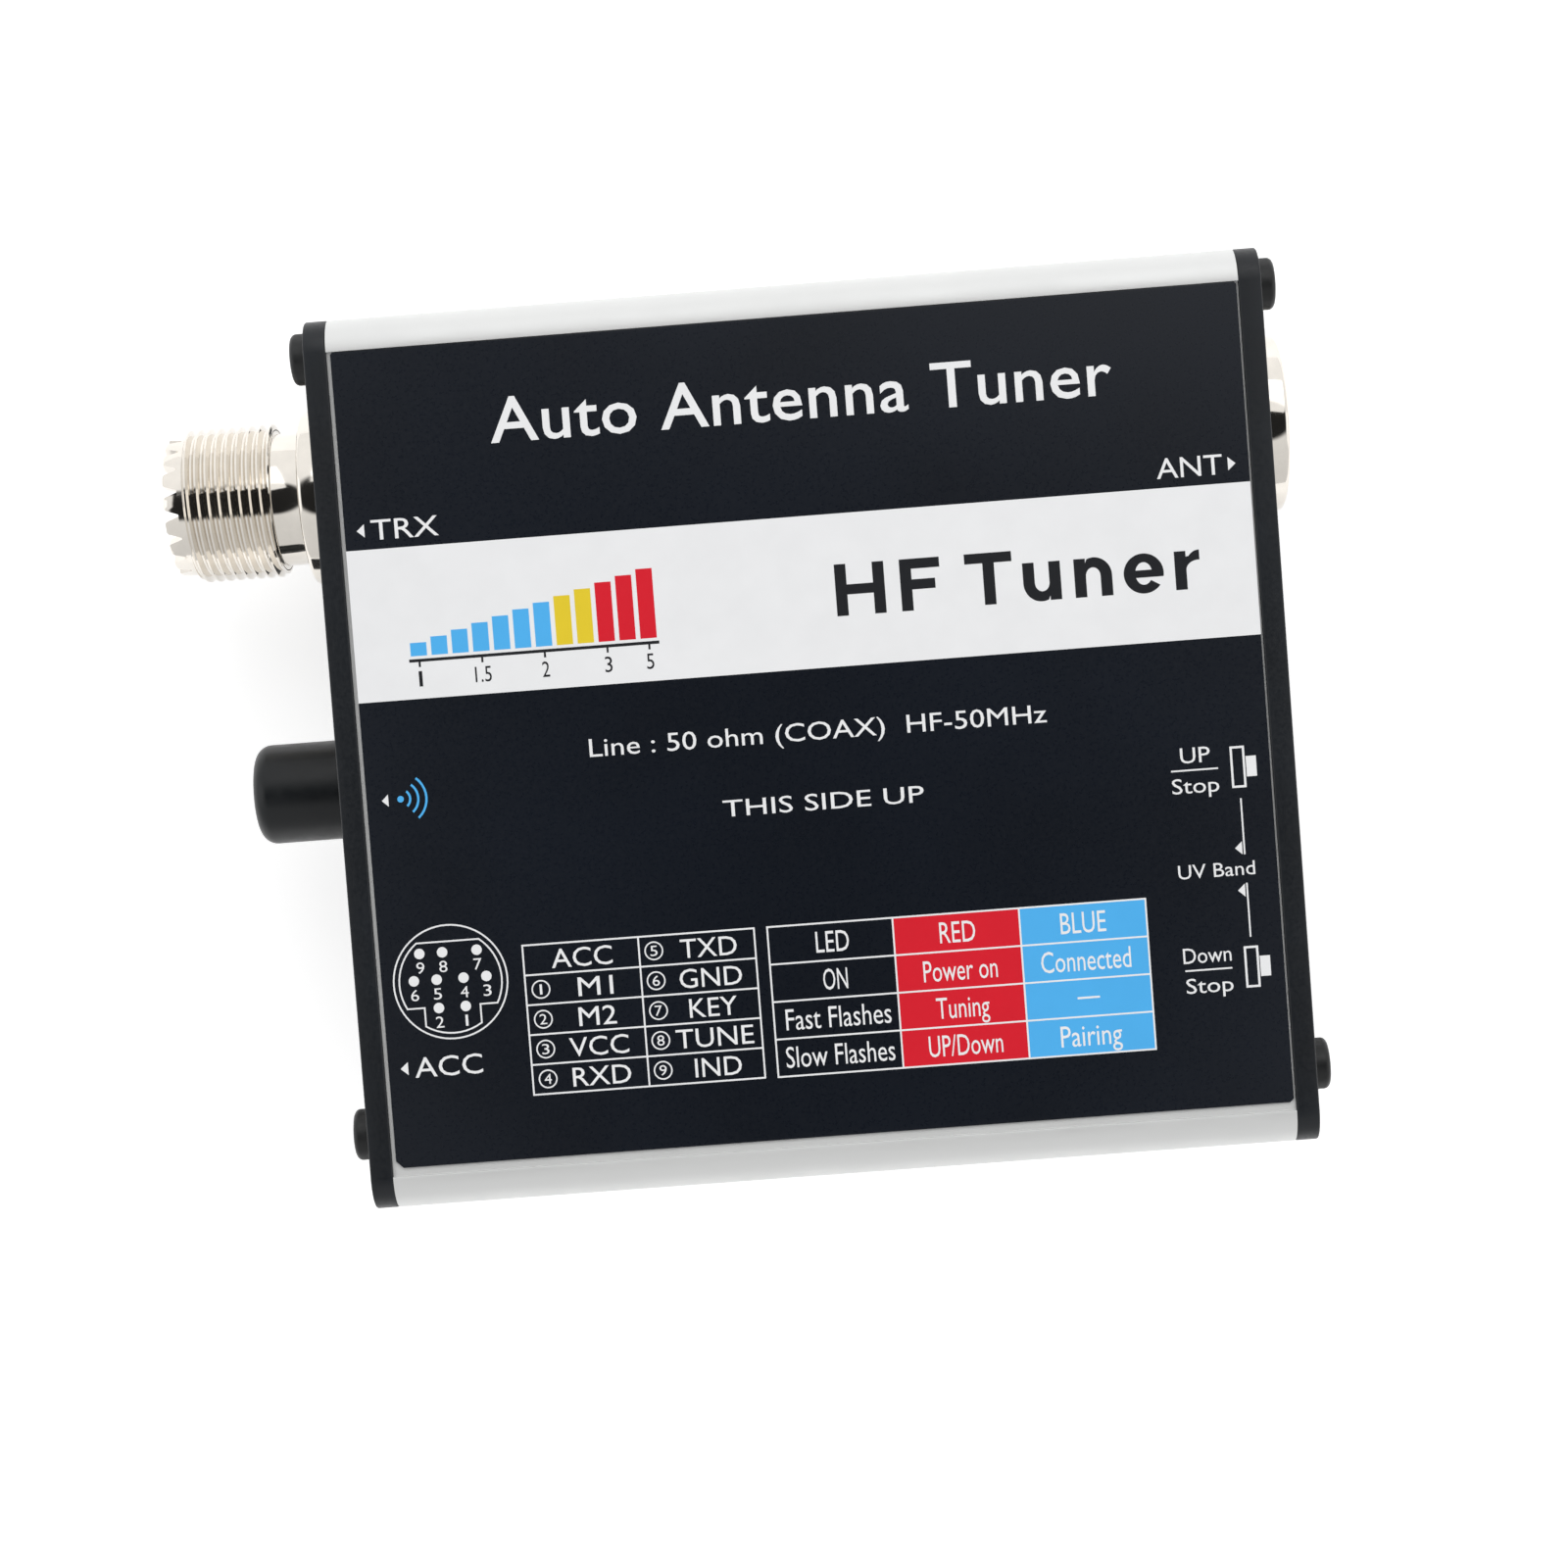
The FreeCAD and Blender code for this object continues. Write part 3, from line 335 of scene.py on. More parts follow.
def grained(name, colour, specular, patches, grain, rough, relief):
    """Soft patches of colour under a fine grain, which sets roughness and relief."""
    n = Nodes(name, Specular_IOR_Level=specular)
    n.mottled(colour, *patches)
    fine = n.noise(*grain)
    n.rough(n.spread(fine, *rough))
    n.bump(fine, *relief)
    return n.material


def black_anodised(name, colour):
    """Black end plates and screws: satin, with fine grain."""
    return grained(name, colour, 0.34, (0.25, 120, 3.0, 0.5), (2600, 2.0, 0.6),
                   (0.34, 0.48), (0.12, 0.00001))


def moulded(name, colour, low, high, grain_scale=1800):
    """Moulded plastic or rubber with fine grain."""
    return grained(name, colour, 0.32, (0.10, 140, 2.0, 0.5), (grain_scale, 3.0, 0.6),
                   (low, high), (0.15, 0.00001))


def printing_ink(name, colour):
    """Screen-printed ink with a faint mesh texture."""
    return grained(name, colour, 0.3, (0.015, 300, 2.0, 0.5), (4200, 2.0, 0.5),
                   (0.36, 0.44), (0.04, 0.000004))


def bright_nickel(name, colour):
    """Plated brass: nearly a mirror, with faint turning marks round the X axis."""
    n = Nodes(name, Metallic=1.0)
    smudge = n.mottled(colour, 0.06, 260, 4.0, 0.6)
    n.rough(n.spread(smudge, 0.05, 0.11))
    n.bump(n.noise(1500, 2.0, 0.5, (1, 0.02, 0.02)), 0.08, 0.000006)
    return n.material


def film_surface(name, colour):
    """Printed polyester film: dark ink under a smooth, slightly rippled face."""
    n = Nodes(name, Specular_IOR_Level=0.3)
    ripple = n.mottled(colour, 0.12, 70, 2.0, 0.4)
    n.rough(n.spread(n.noise(3000, 2.0, 0.5), 0.26, 0.34))
    n.bump(ripple, 0.05, 0.00002)
    return n.material


def lens_plastic(name, colour):
    """Tinted, cloudy lamp resin."""
    n = Nodes(name, Transmission_Weight=0.35, IOR=1.5, Coat_Weight=0.4)
    cloud = n.mottled(colour, 0.25, 500, 3.0, 0.6)
    n.rough(n.spread(cloud, 0.14, 0.24))
    return n.material


def circuit_board(name, colour):
    """Green solder mask over copper tracks, with tinned pads on a 2.54 mm grid."""
    n = Nodes(name)
    tracks = n.add("ShaderNodeTexBrick", {"Vector": n.coords, "Scale": 180,
                                          "Mortar Size": 0.03}).outputs["Fac"]
    grid = n.add("ShaderNodeTexVoronoi", {"Vector": n.coords, "Scale": 394,
                                          "Randomness": 0.0})
    pad = n.spread(grid.outputs["Distance"], 1.0, 0.0, 0.16, 0.20)
    dark, light = shades(colour, 0.30)
    mix = n.add("ShaderNodeMix", {
        "Factor": pad, "A": n.ramp(tracks, ((0.4, light), (0.6, dark))),
        "B": (0.75, 0.74, 0.70, 1)}, data_type="RGBA")
    n.colour(mix.outputs["Result"])
    n.wire(pad, "Metallic")
    n.rough(n.spread(n.noise(900), 0.25, 0.40))
    n.bump(tracks, 0.2, 0.00002)
    return n.material


# ---------------------------------------------------------------- settings

def length(name, description, default):
    """A length setting given in millimetres."""
    return FloatProperty(name=name, description=description, default=default * MM,
                         subtype="DISTANCE", unit="LENGTH", precision=6)


def tint(name, description, default):
    return FloatVectorProperty(name=name, description=description, default=default,
                               size=3, min=0.0, max=1.0, subtype="COLOR")


class TunerSizes(PropertyGroup):
    """Sizes of detail that the CAD parts leave plain."""

    lip_round: length("Lip rounding", "Rounding of the lips beside the film", 0.12)
    plate_round: length("Plate rounding", "Rounding of the end plates' outer edges", 0.35)
    plate_corner: length("Plate corner", "Corner radius of the end plates", 3.4)
    film_corner: length("Film corner", "Bevelled corners of the printed film", 0.7)
    screw_round: length("Screw rounding", "Rounding of a screw head's rim", 0.55)
    screw_hex: length("Screw socket", "Hex socket, centre to corner", 1.15)
    screw_hex_depth: length("Socket depth", "Depth of the hex socket", 1.2)
    thread_pitch: length("Thread pitch", "24 turns to the inch", 1.0583)
    thread_depth: length("Thread depth", "Height of a thread's ridge", 0.62)
    tooth_height: length("Tooth height", "Teeth round the jack's mouth", 1.45)
    stub_round: length("Stub rounding", "Rounding of the rubber stub's tip", 1.6)
    ink: length("Ink", "Thickness of a printed layer", 0.01)
    tooth_count: IntProperty(name="Teeth", description="Teeth round the jack's mouth",
                             default=18, min=6, max=36)


class TunerColours(PropertyGroup):
    """Colours of the visible finishes."""

    aluminium: tint("Aluminium", "Satin extrusion", (0.69, 0.695, 0.69))
    plate: tint("End plates", "Black anodised end plates", (0.008, 0.010, 0.013))
    screw: tint("Screws", "Black screws", (0.017, 0.018, 0.019))
    nickel: tint("Nickel", "Plated connectors", (0.78, 0.74, 0.68))
    film: tint("Film", "Dark ground of the printed film", (0.0055, 0.0078, 0.0130))
    white: tint("White ink", "Band and lettering", (0.88, 0.885, 0.895))
    black: tint("Black ink", "Lettering on the band", (0.012, 0.013, 0.016))
    red: tint("Red ink", "Red column and meter blocks", (0.71, 0.012, 0.027))
    sky: tint("Blue ink", "Blue column and meter blocks", (0.085, 0.46, 0.90))
    yellow: tint("Yellow ink", "End block of the meter", (0.82, 0.62, 0.03))
    rubber: tint("Rubber", "Stub antenna", (0.007, 0.0085, 0.010))
    insulator: tint("Insulator", "White insulators", (0.82, 0.80, 0.74))
    brass: tint("Contacts", "Plated contacts", (0.86, 0.70, 0.38))


class TunerStage(PropertyGroup):
    """Camera and lights."""

    eye: FloatVectorProperty(name="Camera", description="Camera position",
                             default=(0.00157, 0.00588, 0.33108), size=3,
                             subtype="TRANSLATION", unit="LENGTH")
    tilt: FloatVectorProperty(name="Camera turn", description="Tilt, lean and turn",
                              default=(math.radians(-2.155), math.radians(0.762),
                                       math.radians(-4.394)), size=3, subtype="EULER")
    lens: FloatProperty(name="Lens", description="Focal length on a 36 mm frame",
                        default=68.87, min=10, max=300)
    surround: FloatProperty(name="Surround", description="Brightness of the white room",
                            default=0.95, min=0)
    floor_glow: FloatProperty(name="Floor glow", description="Light the floor gives",
                              default=0.52, min=0)
    key: FloatProperty(name="Key light", description="Power of the overhead light",
                       default=1.0, min=0, subtype="POWER", unit="POWER")
    fill: FloatProperty(name="Fill light", description="Power of each side light",
                        default=0.3, min=0, subtype="POWER", unit="POWER")


def finishes():
    """Every material by name, made once."""
    if finishes.made:
        return finishes.made
    colours = bpy.context.scene.tuner_colours
    for make, name, colour, *grain in (
            (satin_aluminium, "satin_aluminium", colours.aluminium),
            (black_anodised, "black_plate", colours.plate),
            (black_anodised, "black_screw", colours.screw),
            (bright_nickel, "nickel", colours.nickel),
            (bright_nickel, "contact_brass", colours.brass),
            (bright_nickel, "zinc_steel", (0.66, 0.67, 0.69)),
            (bright_nickel, "tinned_copper", (0.76, 0.74, 0.71)),
            (film_surface, "printed_film", colours.film),
            (printing_ink, "white_ink", colours.white),
            (printing_ink, "black_ink", colours.black),
            (printing_ink, "red_ink", colours.red),
            (printing_ink, "sky_ink", colours.sky),
            (printing_ink, "yellow_ink", colours.yellow),
            (moulded, "white_insulator", colours.insulator, 0.38, 0.50),
            (moulded, "black_rubber", colours.rubber, 0.30, 0.42, 900),
            (moulded, "black_plastic", (0.024, 0.024, 0.026), 0.30, 0.42),
            (moulded, "relay_case", (0.80, 0.77, 0.70), 0.28, 0.38),
            (moulded, "dark_chip", (0.030, 0.030, 0.032), 0.42, 0.58, 3000),
            (moulded, "capacitor_case", (0.03, 0.05, 0.14), 0.25, 0.35),
            (moulded, "powder_core", (0.52, 0.045, 0.030), 0.32, 0.46, 1200),
            (bright_nickel, "enamelled_wire", (0.62, 0.24, 0.10)),
            (circuit_board, "green_board", (0.012, 0.11, 0.035)),
            (lens_plastic, "red_lens", (0.72, 0.020, 0.015)),
            (lens_plastic, "blue_lens", (0.03, 0.16, 0.80)),
            (lens_plastic, "amber_lens", (0.85, 0.38, 0.02))):
        finishes.made[name] = make(name, colour, *grain)
    return finishes.made


finishes.made = {}


# ---------------------------------------------------------------- case

def copied(node):
    """A merged copy of a CAD node's mesh, as a bmesh with flat faces joined."""
    bm = bmesh.new()
    bm.from_mesh(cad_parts[node].data)
    bmesh.ops.remove_doubles(bm, verts=bm.verts, dist=2e-6)
    bmesh.ops.dissolve_limit(bm, angle_limit=math.radians(0.4), verts=bm.verts,
                             edges=bm.edges)
    return bm


def round_edges(bm, wanted, width, segments=3):
    """Bevel the edges that wanted() picks out."""
    edges = [edge for edge in bm.edges if edge.is_manifold and wanted(edge)]
    bmesh.ops.bevel(bm, geom=edges, offset=width, segments=segments, profile=0.5,
                    affect="EDGES", clamp_overlap=True)


class TUNER_OT_shells(Operator):
    """Both halves of the extrusion, with their lips eased"""

    bl_idname = "tuner.shells"
    bl_label = "Extruded shells"

    def execute(self, context):
        sizes = context.scene.tuner_sizes
        lip_width, lip_step = 4.2 * MM, 0.6 * MM
        for half in ("upper", "lower"):
            node = half + "_shell"
            low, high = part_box(node)
            face = high.z if half == "upper" else low.z
            bm = copied(node)

            def is_rim(edge, side=high.y, face=face):
                """A sharp edge along X, on the lip beside the film."""
                start, end = (vertex.co for vertex in edge.verts)
                return all(abs(abs(spot.y) - side) < lip_width and
                           abs(spot.z - face) < lip_step for spot in (start, end)) and \
                    edge.calc_face_angle(0) > math.radians(50) and \
                    abs(start.x - end.x) > 1.0 * MM

            round_edges(bm, is_rim, sizes.lip_round)
            piece = mesh_piece("extrusion_" + half, bm, 30)
            settle(piece, "satin_aluminium", node)
        return {"FINISHED"}


def flat_shape(name, outlines, thickness, bevel=0.0, steps=3):
    """A plate with rounded rims, from z 0 up: its outline in XY, then those of its holes."""
    curve = bpy.data.curves.new(name, "CURVE")
    curve.dimensions = "2D"
    curve.fill_mode = "BOTH"
    curve.extrude = thickness / 2 - bevel
    curve.bevel_depth = bevel
    curve.bevel_resolution = steps
    curve.offset = -bevel
    for points in outlines:
        spline = curve.splines.new("POLY")
        spline.points.add(len(points) - 1)
        for place, (x, y) in zip(spline.points, points):
            place.co = (x, y, 0, 1)
        spline.use_cyclic_u = True
    obj = link(bpy.data.objects.new(name, curve))
    mesh = evaluated_mesh(obj, name)
    mesh.transform(Matrix.Translation((0, 0, thickness / 2)))
    bm = bmesh.new()
    bm.from_mesh(mesh)
    bpy.data.meshes.remove(mesh)
    bmesh.ops.remove_doubles(bm, verts=bm.verts, dist=SAME_PLACE)
    return bm


def circle(middle, radius, steps=64):
    return [(middle[0] + radius * math.cos(2 * math.pi * step / steps),
             middle[1] + radius * math.sin(2 * math.pi * step / steps))
            for step in range(steps)]


def rounded_box(left, right, low, high, radius, steps=10):
    corners = [(left, low), (right, low), (right, high), (left, high)]
    return eased(corners, radius, True, steps)


def middle_of(points, axes):
    """Middle of the box round some points, on the given axes."""
    return tuple((min(p[axis] for p in points) + max(p[axis] for p in points)) / 2
                 for axis in axes)


def screw_places():
    """Screw axes (y, z), read from the CAD screws on one end plate."""
    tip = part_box("right_plate_screws")[1].x
    middle_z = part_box("right_end_plate")[1].z / 2
    places = {}
    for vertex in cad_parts["right_plate_screws"].data.vertices:
        if vertex.co.x > tip - 0.01 * MM:
            key = (vertex.co.y > 0, vertex.co.z > middle_z)
            places.setdefault(key, []).append(vertex.co)
    return sorted(middle_of(points, (1, 2)) for points in places.values())


def lamp_axis(node):
    """Axis (y, z) of a lamp: its leads hang down, so it is measured from the top."""
    low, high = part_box(node)
    return (low.y + high.y) / 2, high.z - LAMP_FLANGE


class TUNER_OT_end_plates(Operator):
    """Black end plates with rounded rims and their holes"""

    bl_idname = "tuner.end_plates"
    bl_label = "End plates"

    def execute(self, context):
        sizes = context.scene.tuner_sizes
        shank, barrel, jack, button, lamp = mm(1.55, 6.05, 3.2, 2.0, 1.6)
        shell = half_height("acc_socket_shell") + 0.05 * MM
        openings = {
            "trx": (("trx_nut", barrel), ("wireless_jack_nut", jack),
                    ("acc_socket_shell", shell)),
            "ant": (("ant_nut", barrel), ("up_button", button), ("down_button", button),
                    ("lamp_red", lamp), ("lamp_blue", lamp), ("lamp_band", lamp)),
        }
        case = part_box("upper_shell")[1]
        outline = rounded_box(-case.y, case.y, 0.0, case.z, sizes.plate_corner)
        for side, node in (("trx", "left_end_plate"), ("ant", "right_end_plate")):
            low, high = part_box(node)
            shapes = [outline] + [circle(place, shank, 32) for place in screw_places()]
            for inside, radius in openings[side]:
                is_lamp = inside.startswith("lamp")
                place = lamp_axis(inside) if is_lamp else box_and_axis(inside)[2]
                shapes.append(circle(place, radius))
            bm = flat_shape(node, shapes, high.x - low.x, sizes.plate_round / 2)
            bmesh.ops.transform(bm, verts=bm.verts, matrix=across_x(low.x))
            settle(mesh_piece("end_plate_" + side, bm, 40), "black_plate", node)
        return {"FINISHED"}


# ---------------------------------------------------------------- repeated shapes

class Rule:
    """One Geometry Nodes tree with named inputs for its sizes."""

    def __init__(self, name, **sizes):
        self.group = bpy.data.node_groups.new(name, "GeometryNodeTree")
        self.face = self.group.interface
        self.face.new_socket("Geometry", in_out="INPUT", socket_type="NodeSocketGeometry")
        self.face.new_socket("Geometry", in_out="OUTPUT", socket_type="NodeSocketGeometry")
        self.sockets = {}
        for key, value in sizes.items():
            kind = "NodeSocketFloat"
            if isinstance(value, int):
                kind = "NodeSocketInt"
            elif isinstance(value, (tuple, list, Vector)):
                kind = "NodeSocketVector"
            title = key.replace("_", " ").capitalize()
            socket = self.face.new_socket(title, in_out="INPUT", socket_type=kind)
            self.sockets[key] = (title, socket.identifier, value)
        self.input = self.group.nodes.new("NodeGroupInput")
        self.output = self.group.nodes.new("NodeGroupOutput")

    def add(self, kind, inputs=None, **settings):
        return new_node(self.group, kind, inputs, **settings)

    def size(self, key):
        return self.input.outputs[self.sockets[key][0]]

    def maths(self, kind, first, second=0.0):
        return self.add("ShaderNodeMath", {0: first, 1: second}, operation=kind).outputs[0]

    def join(self, *geometries):
        node = self.add("GeometryNodeJoinGeometry")
        for geometry in geometries:
            self.group.links.new(geometry, node.inputs[0])
        return node.outputs[0]

    def end(self, geometry, material):
        real = self.add("GeometryNodeRealizeInstances", {0: geometry})
        finish = self.add("GeometryNodeSetMaterial", {"Geometry": real.outputs[0],
                                                      "Material": material})
        self.group.links.new(finish.outputs[0], self.output.inputs[0])

    def grow(self, name, base=None):
        """Run the tree on a base mesh and give back a plain mesh."""
        base = base or bpy.data.meshes.new(name + "_base")
        obj = link(bpy.data.objects.new(name + "_grown", base))
        modifier = obj.modifiers.new(name, "NODES")
        modifier.node_group = self.group
        for _, identifier, value in self.sockets.values():
            modifier[identifier] = value
        return evaluated_mesh(obj, name)


def thread_ridge(name, material, radius, ridge, pitch, turns, start, lean=1.0):
    """Right-handed screw ridge round the X axis, towards +X, or towards -X if lean is -1.

    A negative ridge points inwards."""
    rule = Rule("screw_thread", radius=radius, ridge=ridge, pitch=pitch, turns=turns,
                start=Vector(start))
    sink, foot, top = 0.15, 0.47, 0.09  # root depth over the ridge, half widths over the pitch
    run_out, thinnest = 0.4, 0.02  # turns over which each end thins out, and its thinnest
    root_x = rule.maths("MULTIPLY", rule.size("ridge"), -sink)
    crest_x = rule.size("ridge")
    corners = []
    for x, share in ((root_x, -foot), (root_x, foot), (crest_x, top), (crest_x, -top)):
        y = rule.maths("MULTIPLY", rule.size("pitch"), share)
        corners.append(rule.add("ShaderNodeCombineXYZ", {"X": x, "Y": y}).outputs[0])
    profile = rule.add("GeometryNodeCurvePrimitiveQuadrilateral",
                       {"Point %d" % (index + 1): corner
                        for index, corner in enumerate(corners)}, mode="POINTS")
    spiral = rule.add("GeometryNodeCurveSpiral", {
        "Resolution": 56, "Rotations": rule.size("turns"), "Reverse": True,
        "Start Radius": rule.size("radius"), "End Radius": rule.size("radius"),
        "Height": rule.maths("MULTIPLY", rule.size("turns"), rule.size("pitch"))})
    upright = rule.add("GeometryNodeSetCurveNormal", {"Curve": spiral.outputs[0]},
                       mode="Z_UP")
    place = rule.add("GeometryNodeSplineParameter").outputs["Factor"]
    far = rule.maths("SUBTRACT", 1.0, place)
    height = rule.maths("MULTIPLY", rule.maths("MINIMUM", place, far),
                        rule.maths("MULTIPLY", rule.size("turns"), 1 / run_out))
    swept = rule.add("GeometryNodeCurveToMesh", {
        "Curve": upright.outputs[0], "Profile Curve": profile.outputs[0],
        "Scale": rule.maths("MINIMUM", rule.maths("ADD", height, thinnest), 1.0),
        "Fill Caps": True})
    laid = rule.add("GeometryNodeTransform", {
        "Geometry": swept.outputs[0], "Translation": rule.size("start"),
        "Rotation": (0, math.radians(90) * lean, 0)})
    rule.end(laid.outputs[0], material)
    return rule.grow(name)


def ring_of(name, material, base, count, axis, middle, sweep=2 * math.pi):
    """Copies of one shape turned about an axis, evenly spread over an angle."""
    rule = Rule("ring_of_copies", count=count, step=sweep / count, axis=Vector(axis),
                middle=Vector(middle))
    line = rule.add("GeometryNodeMeshLine", {"Count": rule.size("count"),
                                             "Offset": (0, 0, 0)})
    number = rule.add("GeometryNodeInputIndex").outputs[0]
    turn = rule.add("ShaderNodeVectorMath", {
        0: rule.size("axis"), "Scale": rule.maths("MULTIPLY", number, rule.size("step"))},
        operation="SCALE")
    copies = rule.add("GeometryNodeInstanceOnPoints", {
        "Points": line.outputs[0], "Instance": rule.input.outputs[0],
        "Rotation": turn.outputs[0]})
    laid = rule.add("GeometryNodeTransform", {"Geometry": copies.outputs[0],
                                              "Translation": rule.size("middle")})
    rule.end(laid.outputs[0], material)
    return rule.grow(name, base)


def screw_set(name, material, base, face, middle, wide, narrow, rise):
    """Four screws on each end plate, set in a parallelogram about the plate's middle."""
    rule = Rule("plate_screws", face=face, middle=middle, wide=wide, narrow=narrow,
                rise=rise)

    def vector(y, z, sign):
        return rule.add("ShaderNodeCombineXYZ", {
            "Y": rule.maths("MULTIPLY", y, sign),
            "Z": rule.maths("MULTIPLY", z, sign)}).outputs[0]

    rows = []
    for sign in (1.0, -1.0):
        outer = vector(rule.size("wide"), rule.size("rise"), sign)
        step = rule.add("ShaderNodeCombineXYZ", {"Y": rule.maths(
            "MULTIPLY", rule.maths("ADD", rule.size("wide"), rule.size("narrow")),
            -sign)}).outputs[0]
        rows.append(rule.add("GeometryNodeMeshLine", {
            "Count": 2, "Start Location": outer, "Offset": step}).outputs[0])
    points = rule.join(*rows)
    sides = []
    for turn, sign in ((0.0, 1.0), (math.pi, -1.0)):
        copies = rule.add("GeometryNodeInstanceOnPoints", {
            "Points": points, "Instance": rule.input.outputs[0], "Rotation": (0, 0, turn)})
        shift = rule.add("ShaderNodeCombineXYZ", {
            "X": rule.maths("MULTIPLY", rule.size("face"), sign),
            "Z": rule.size("middle")})
        sides.append(rule.add("GeometryNodeTransform", {
            "Geometry": copies.outputs[0], "Translation": shift.outputs[0]}).outputs[0])
    rule.end(rule.join(*sides), material)
    return rule.grow(name, base)


def joined(name, meshes, smooth_angle=35.0):
    """One piece from several meshes."""
    bm = bmesh.new()
    for mesh in meshes:
        bm.from_mesh(mesh)
        bpy.data.meshes.remove(mesh)
    return mesh_piece(name, bm, smooth_angle)


class TUNER_OT_plate_screws(Operator):
    """Eight socket screws that hold the end plates"""

    bl_idname = "tuner.plate_screws"
    bl_label = "Plate screws"

    def execute(self, context):
        sizes = context.scene.tuner_sizes
        low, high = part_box("right_plate_screws")
        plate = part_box("right_end_plate")[1]
        tip, head, shank = low.x - plate.x, high.x - plate.x, 1.45 * MM
        under_rim, ribs, rib_cut = 0.25 * MM, 96, 0.975
        rim = eased([(0, SCREW_HEAD), (under_rim, SCREW_HEAD), (head, SCREW_HEAD),
                     (head, 0)], [0, 0, sizes.screw_round, 0], closed=False, steps=5)
        socket, floor = sizes.screw_hex, head - sizes.screw_hex_depth
        profile = [(tip, 0), (tip, shank * 0.8), (tip + 0.3 * MM, shank), (0, shank)]
        profile += rim[:-1]
        profile += [(head, socket * 1.16), (head - 0.12 * MM, socket, 6),
                    (floor, socket, 6), (floor - 0.35 * MM, 0)]
        bm = turned_shape(profile, (0, 0), ribs, closed=False)
        for vertex in bm.verts:
            across = math.hypot(vertex.co.y, vertex.co.z)
            angle = math.atan2(vertex.co.z, vertex.co.y)
            groove = round(angle / (2 * math.pi) * ribs) % 2
            if across > SCREW_HEAD * 0.999 and vertex.co.x > 0.2 * MM and groove:
                vertex.co.yz *= rib_cut
        places = screw_places()
        wide = max(abs(y) for y, z in places)
        narrow = min(abs(y) for y, z in places)
        middle = plate.z / 2
        mesh = screw_set("plate_screws", finishes()["black_screw"], plain_mesh("screw", bm),
                         plate.x, middle, wide, narrow, max(z for y, z in places) - middle)
        piece = joined("plate_screws", [mesh], 40)
        settle(piece, "black_screw", "left_plate_screws", "right_plate_screws")
        return {"FINISHED"}


# ---------------------------------------------------------------- connectors

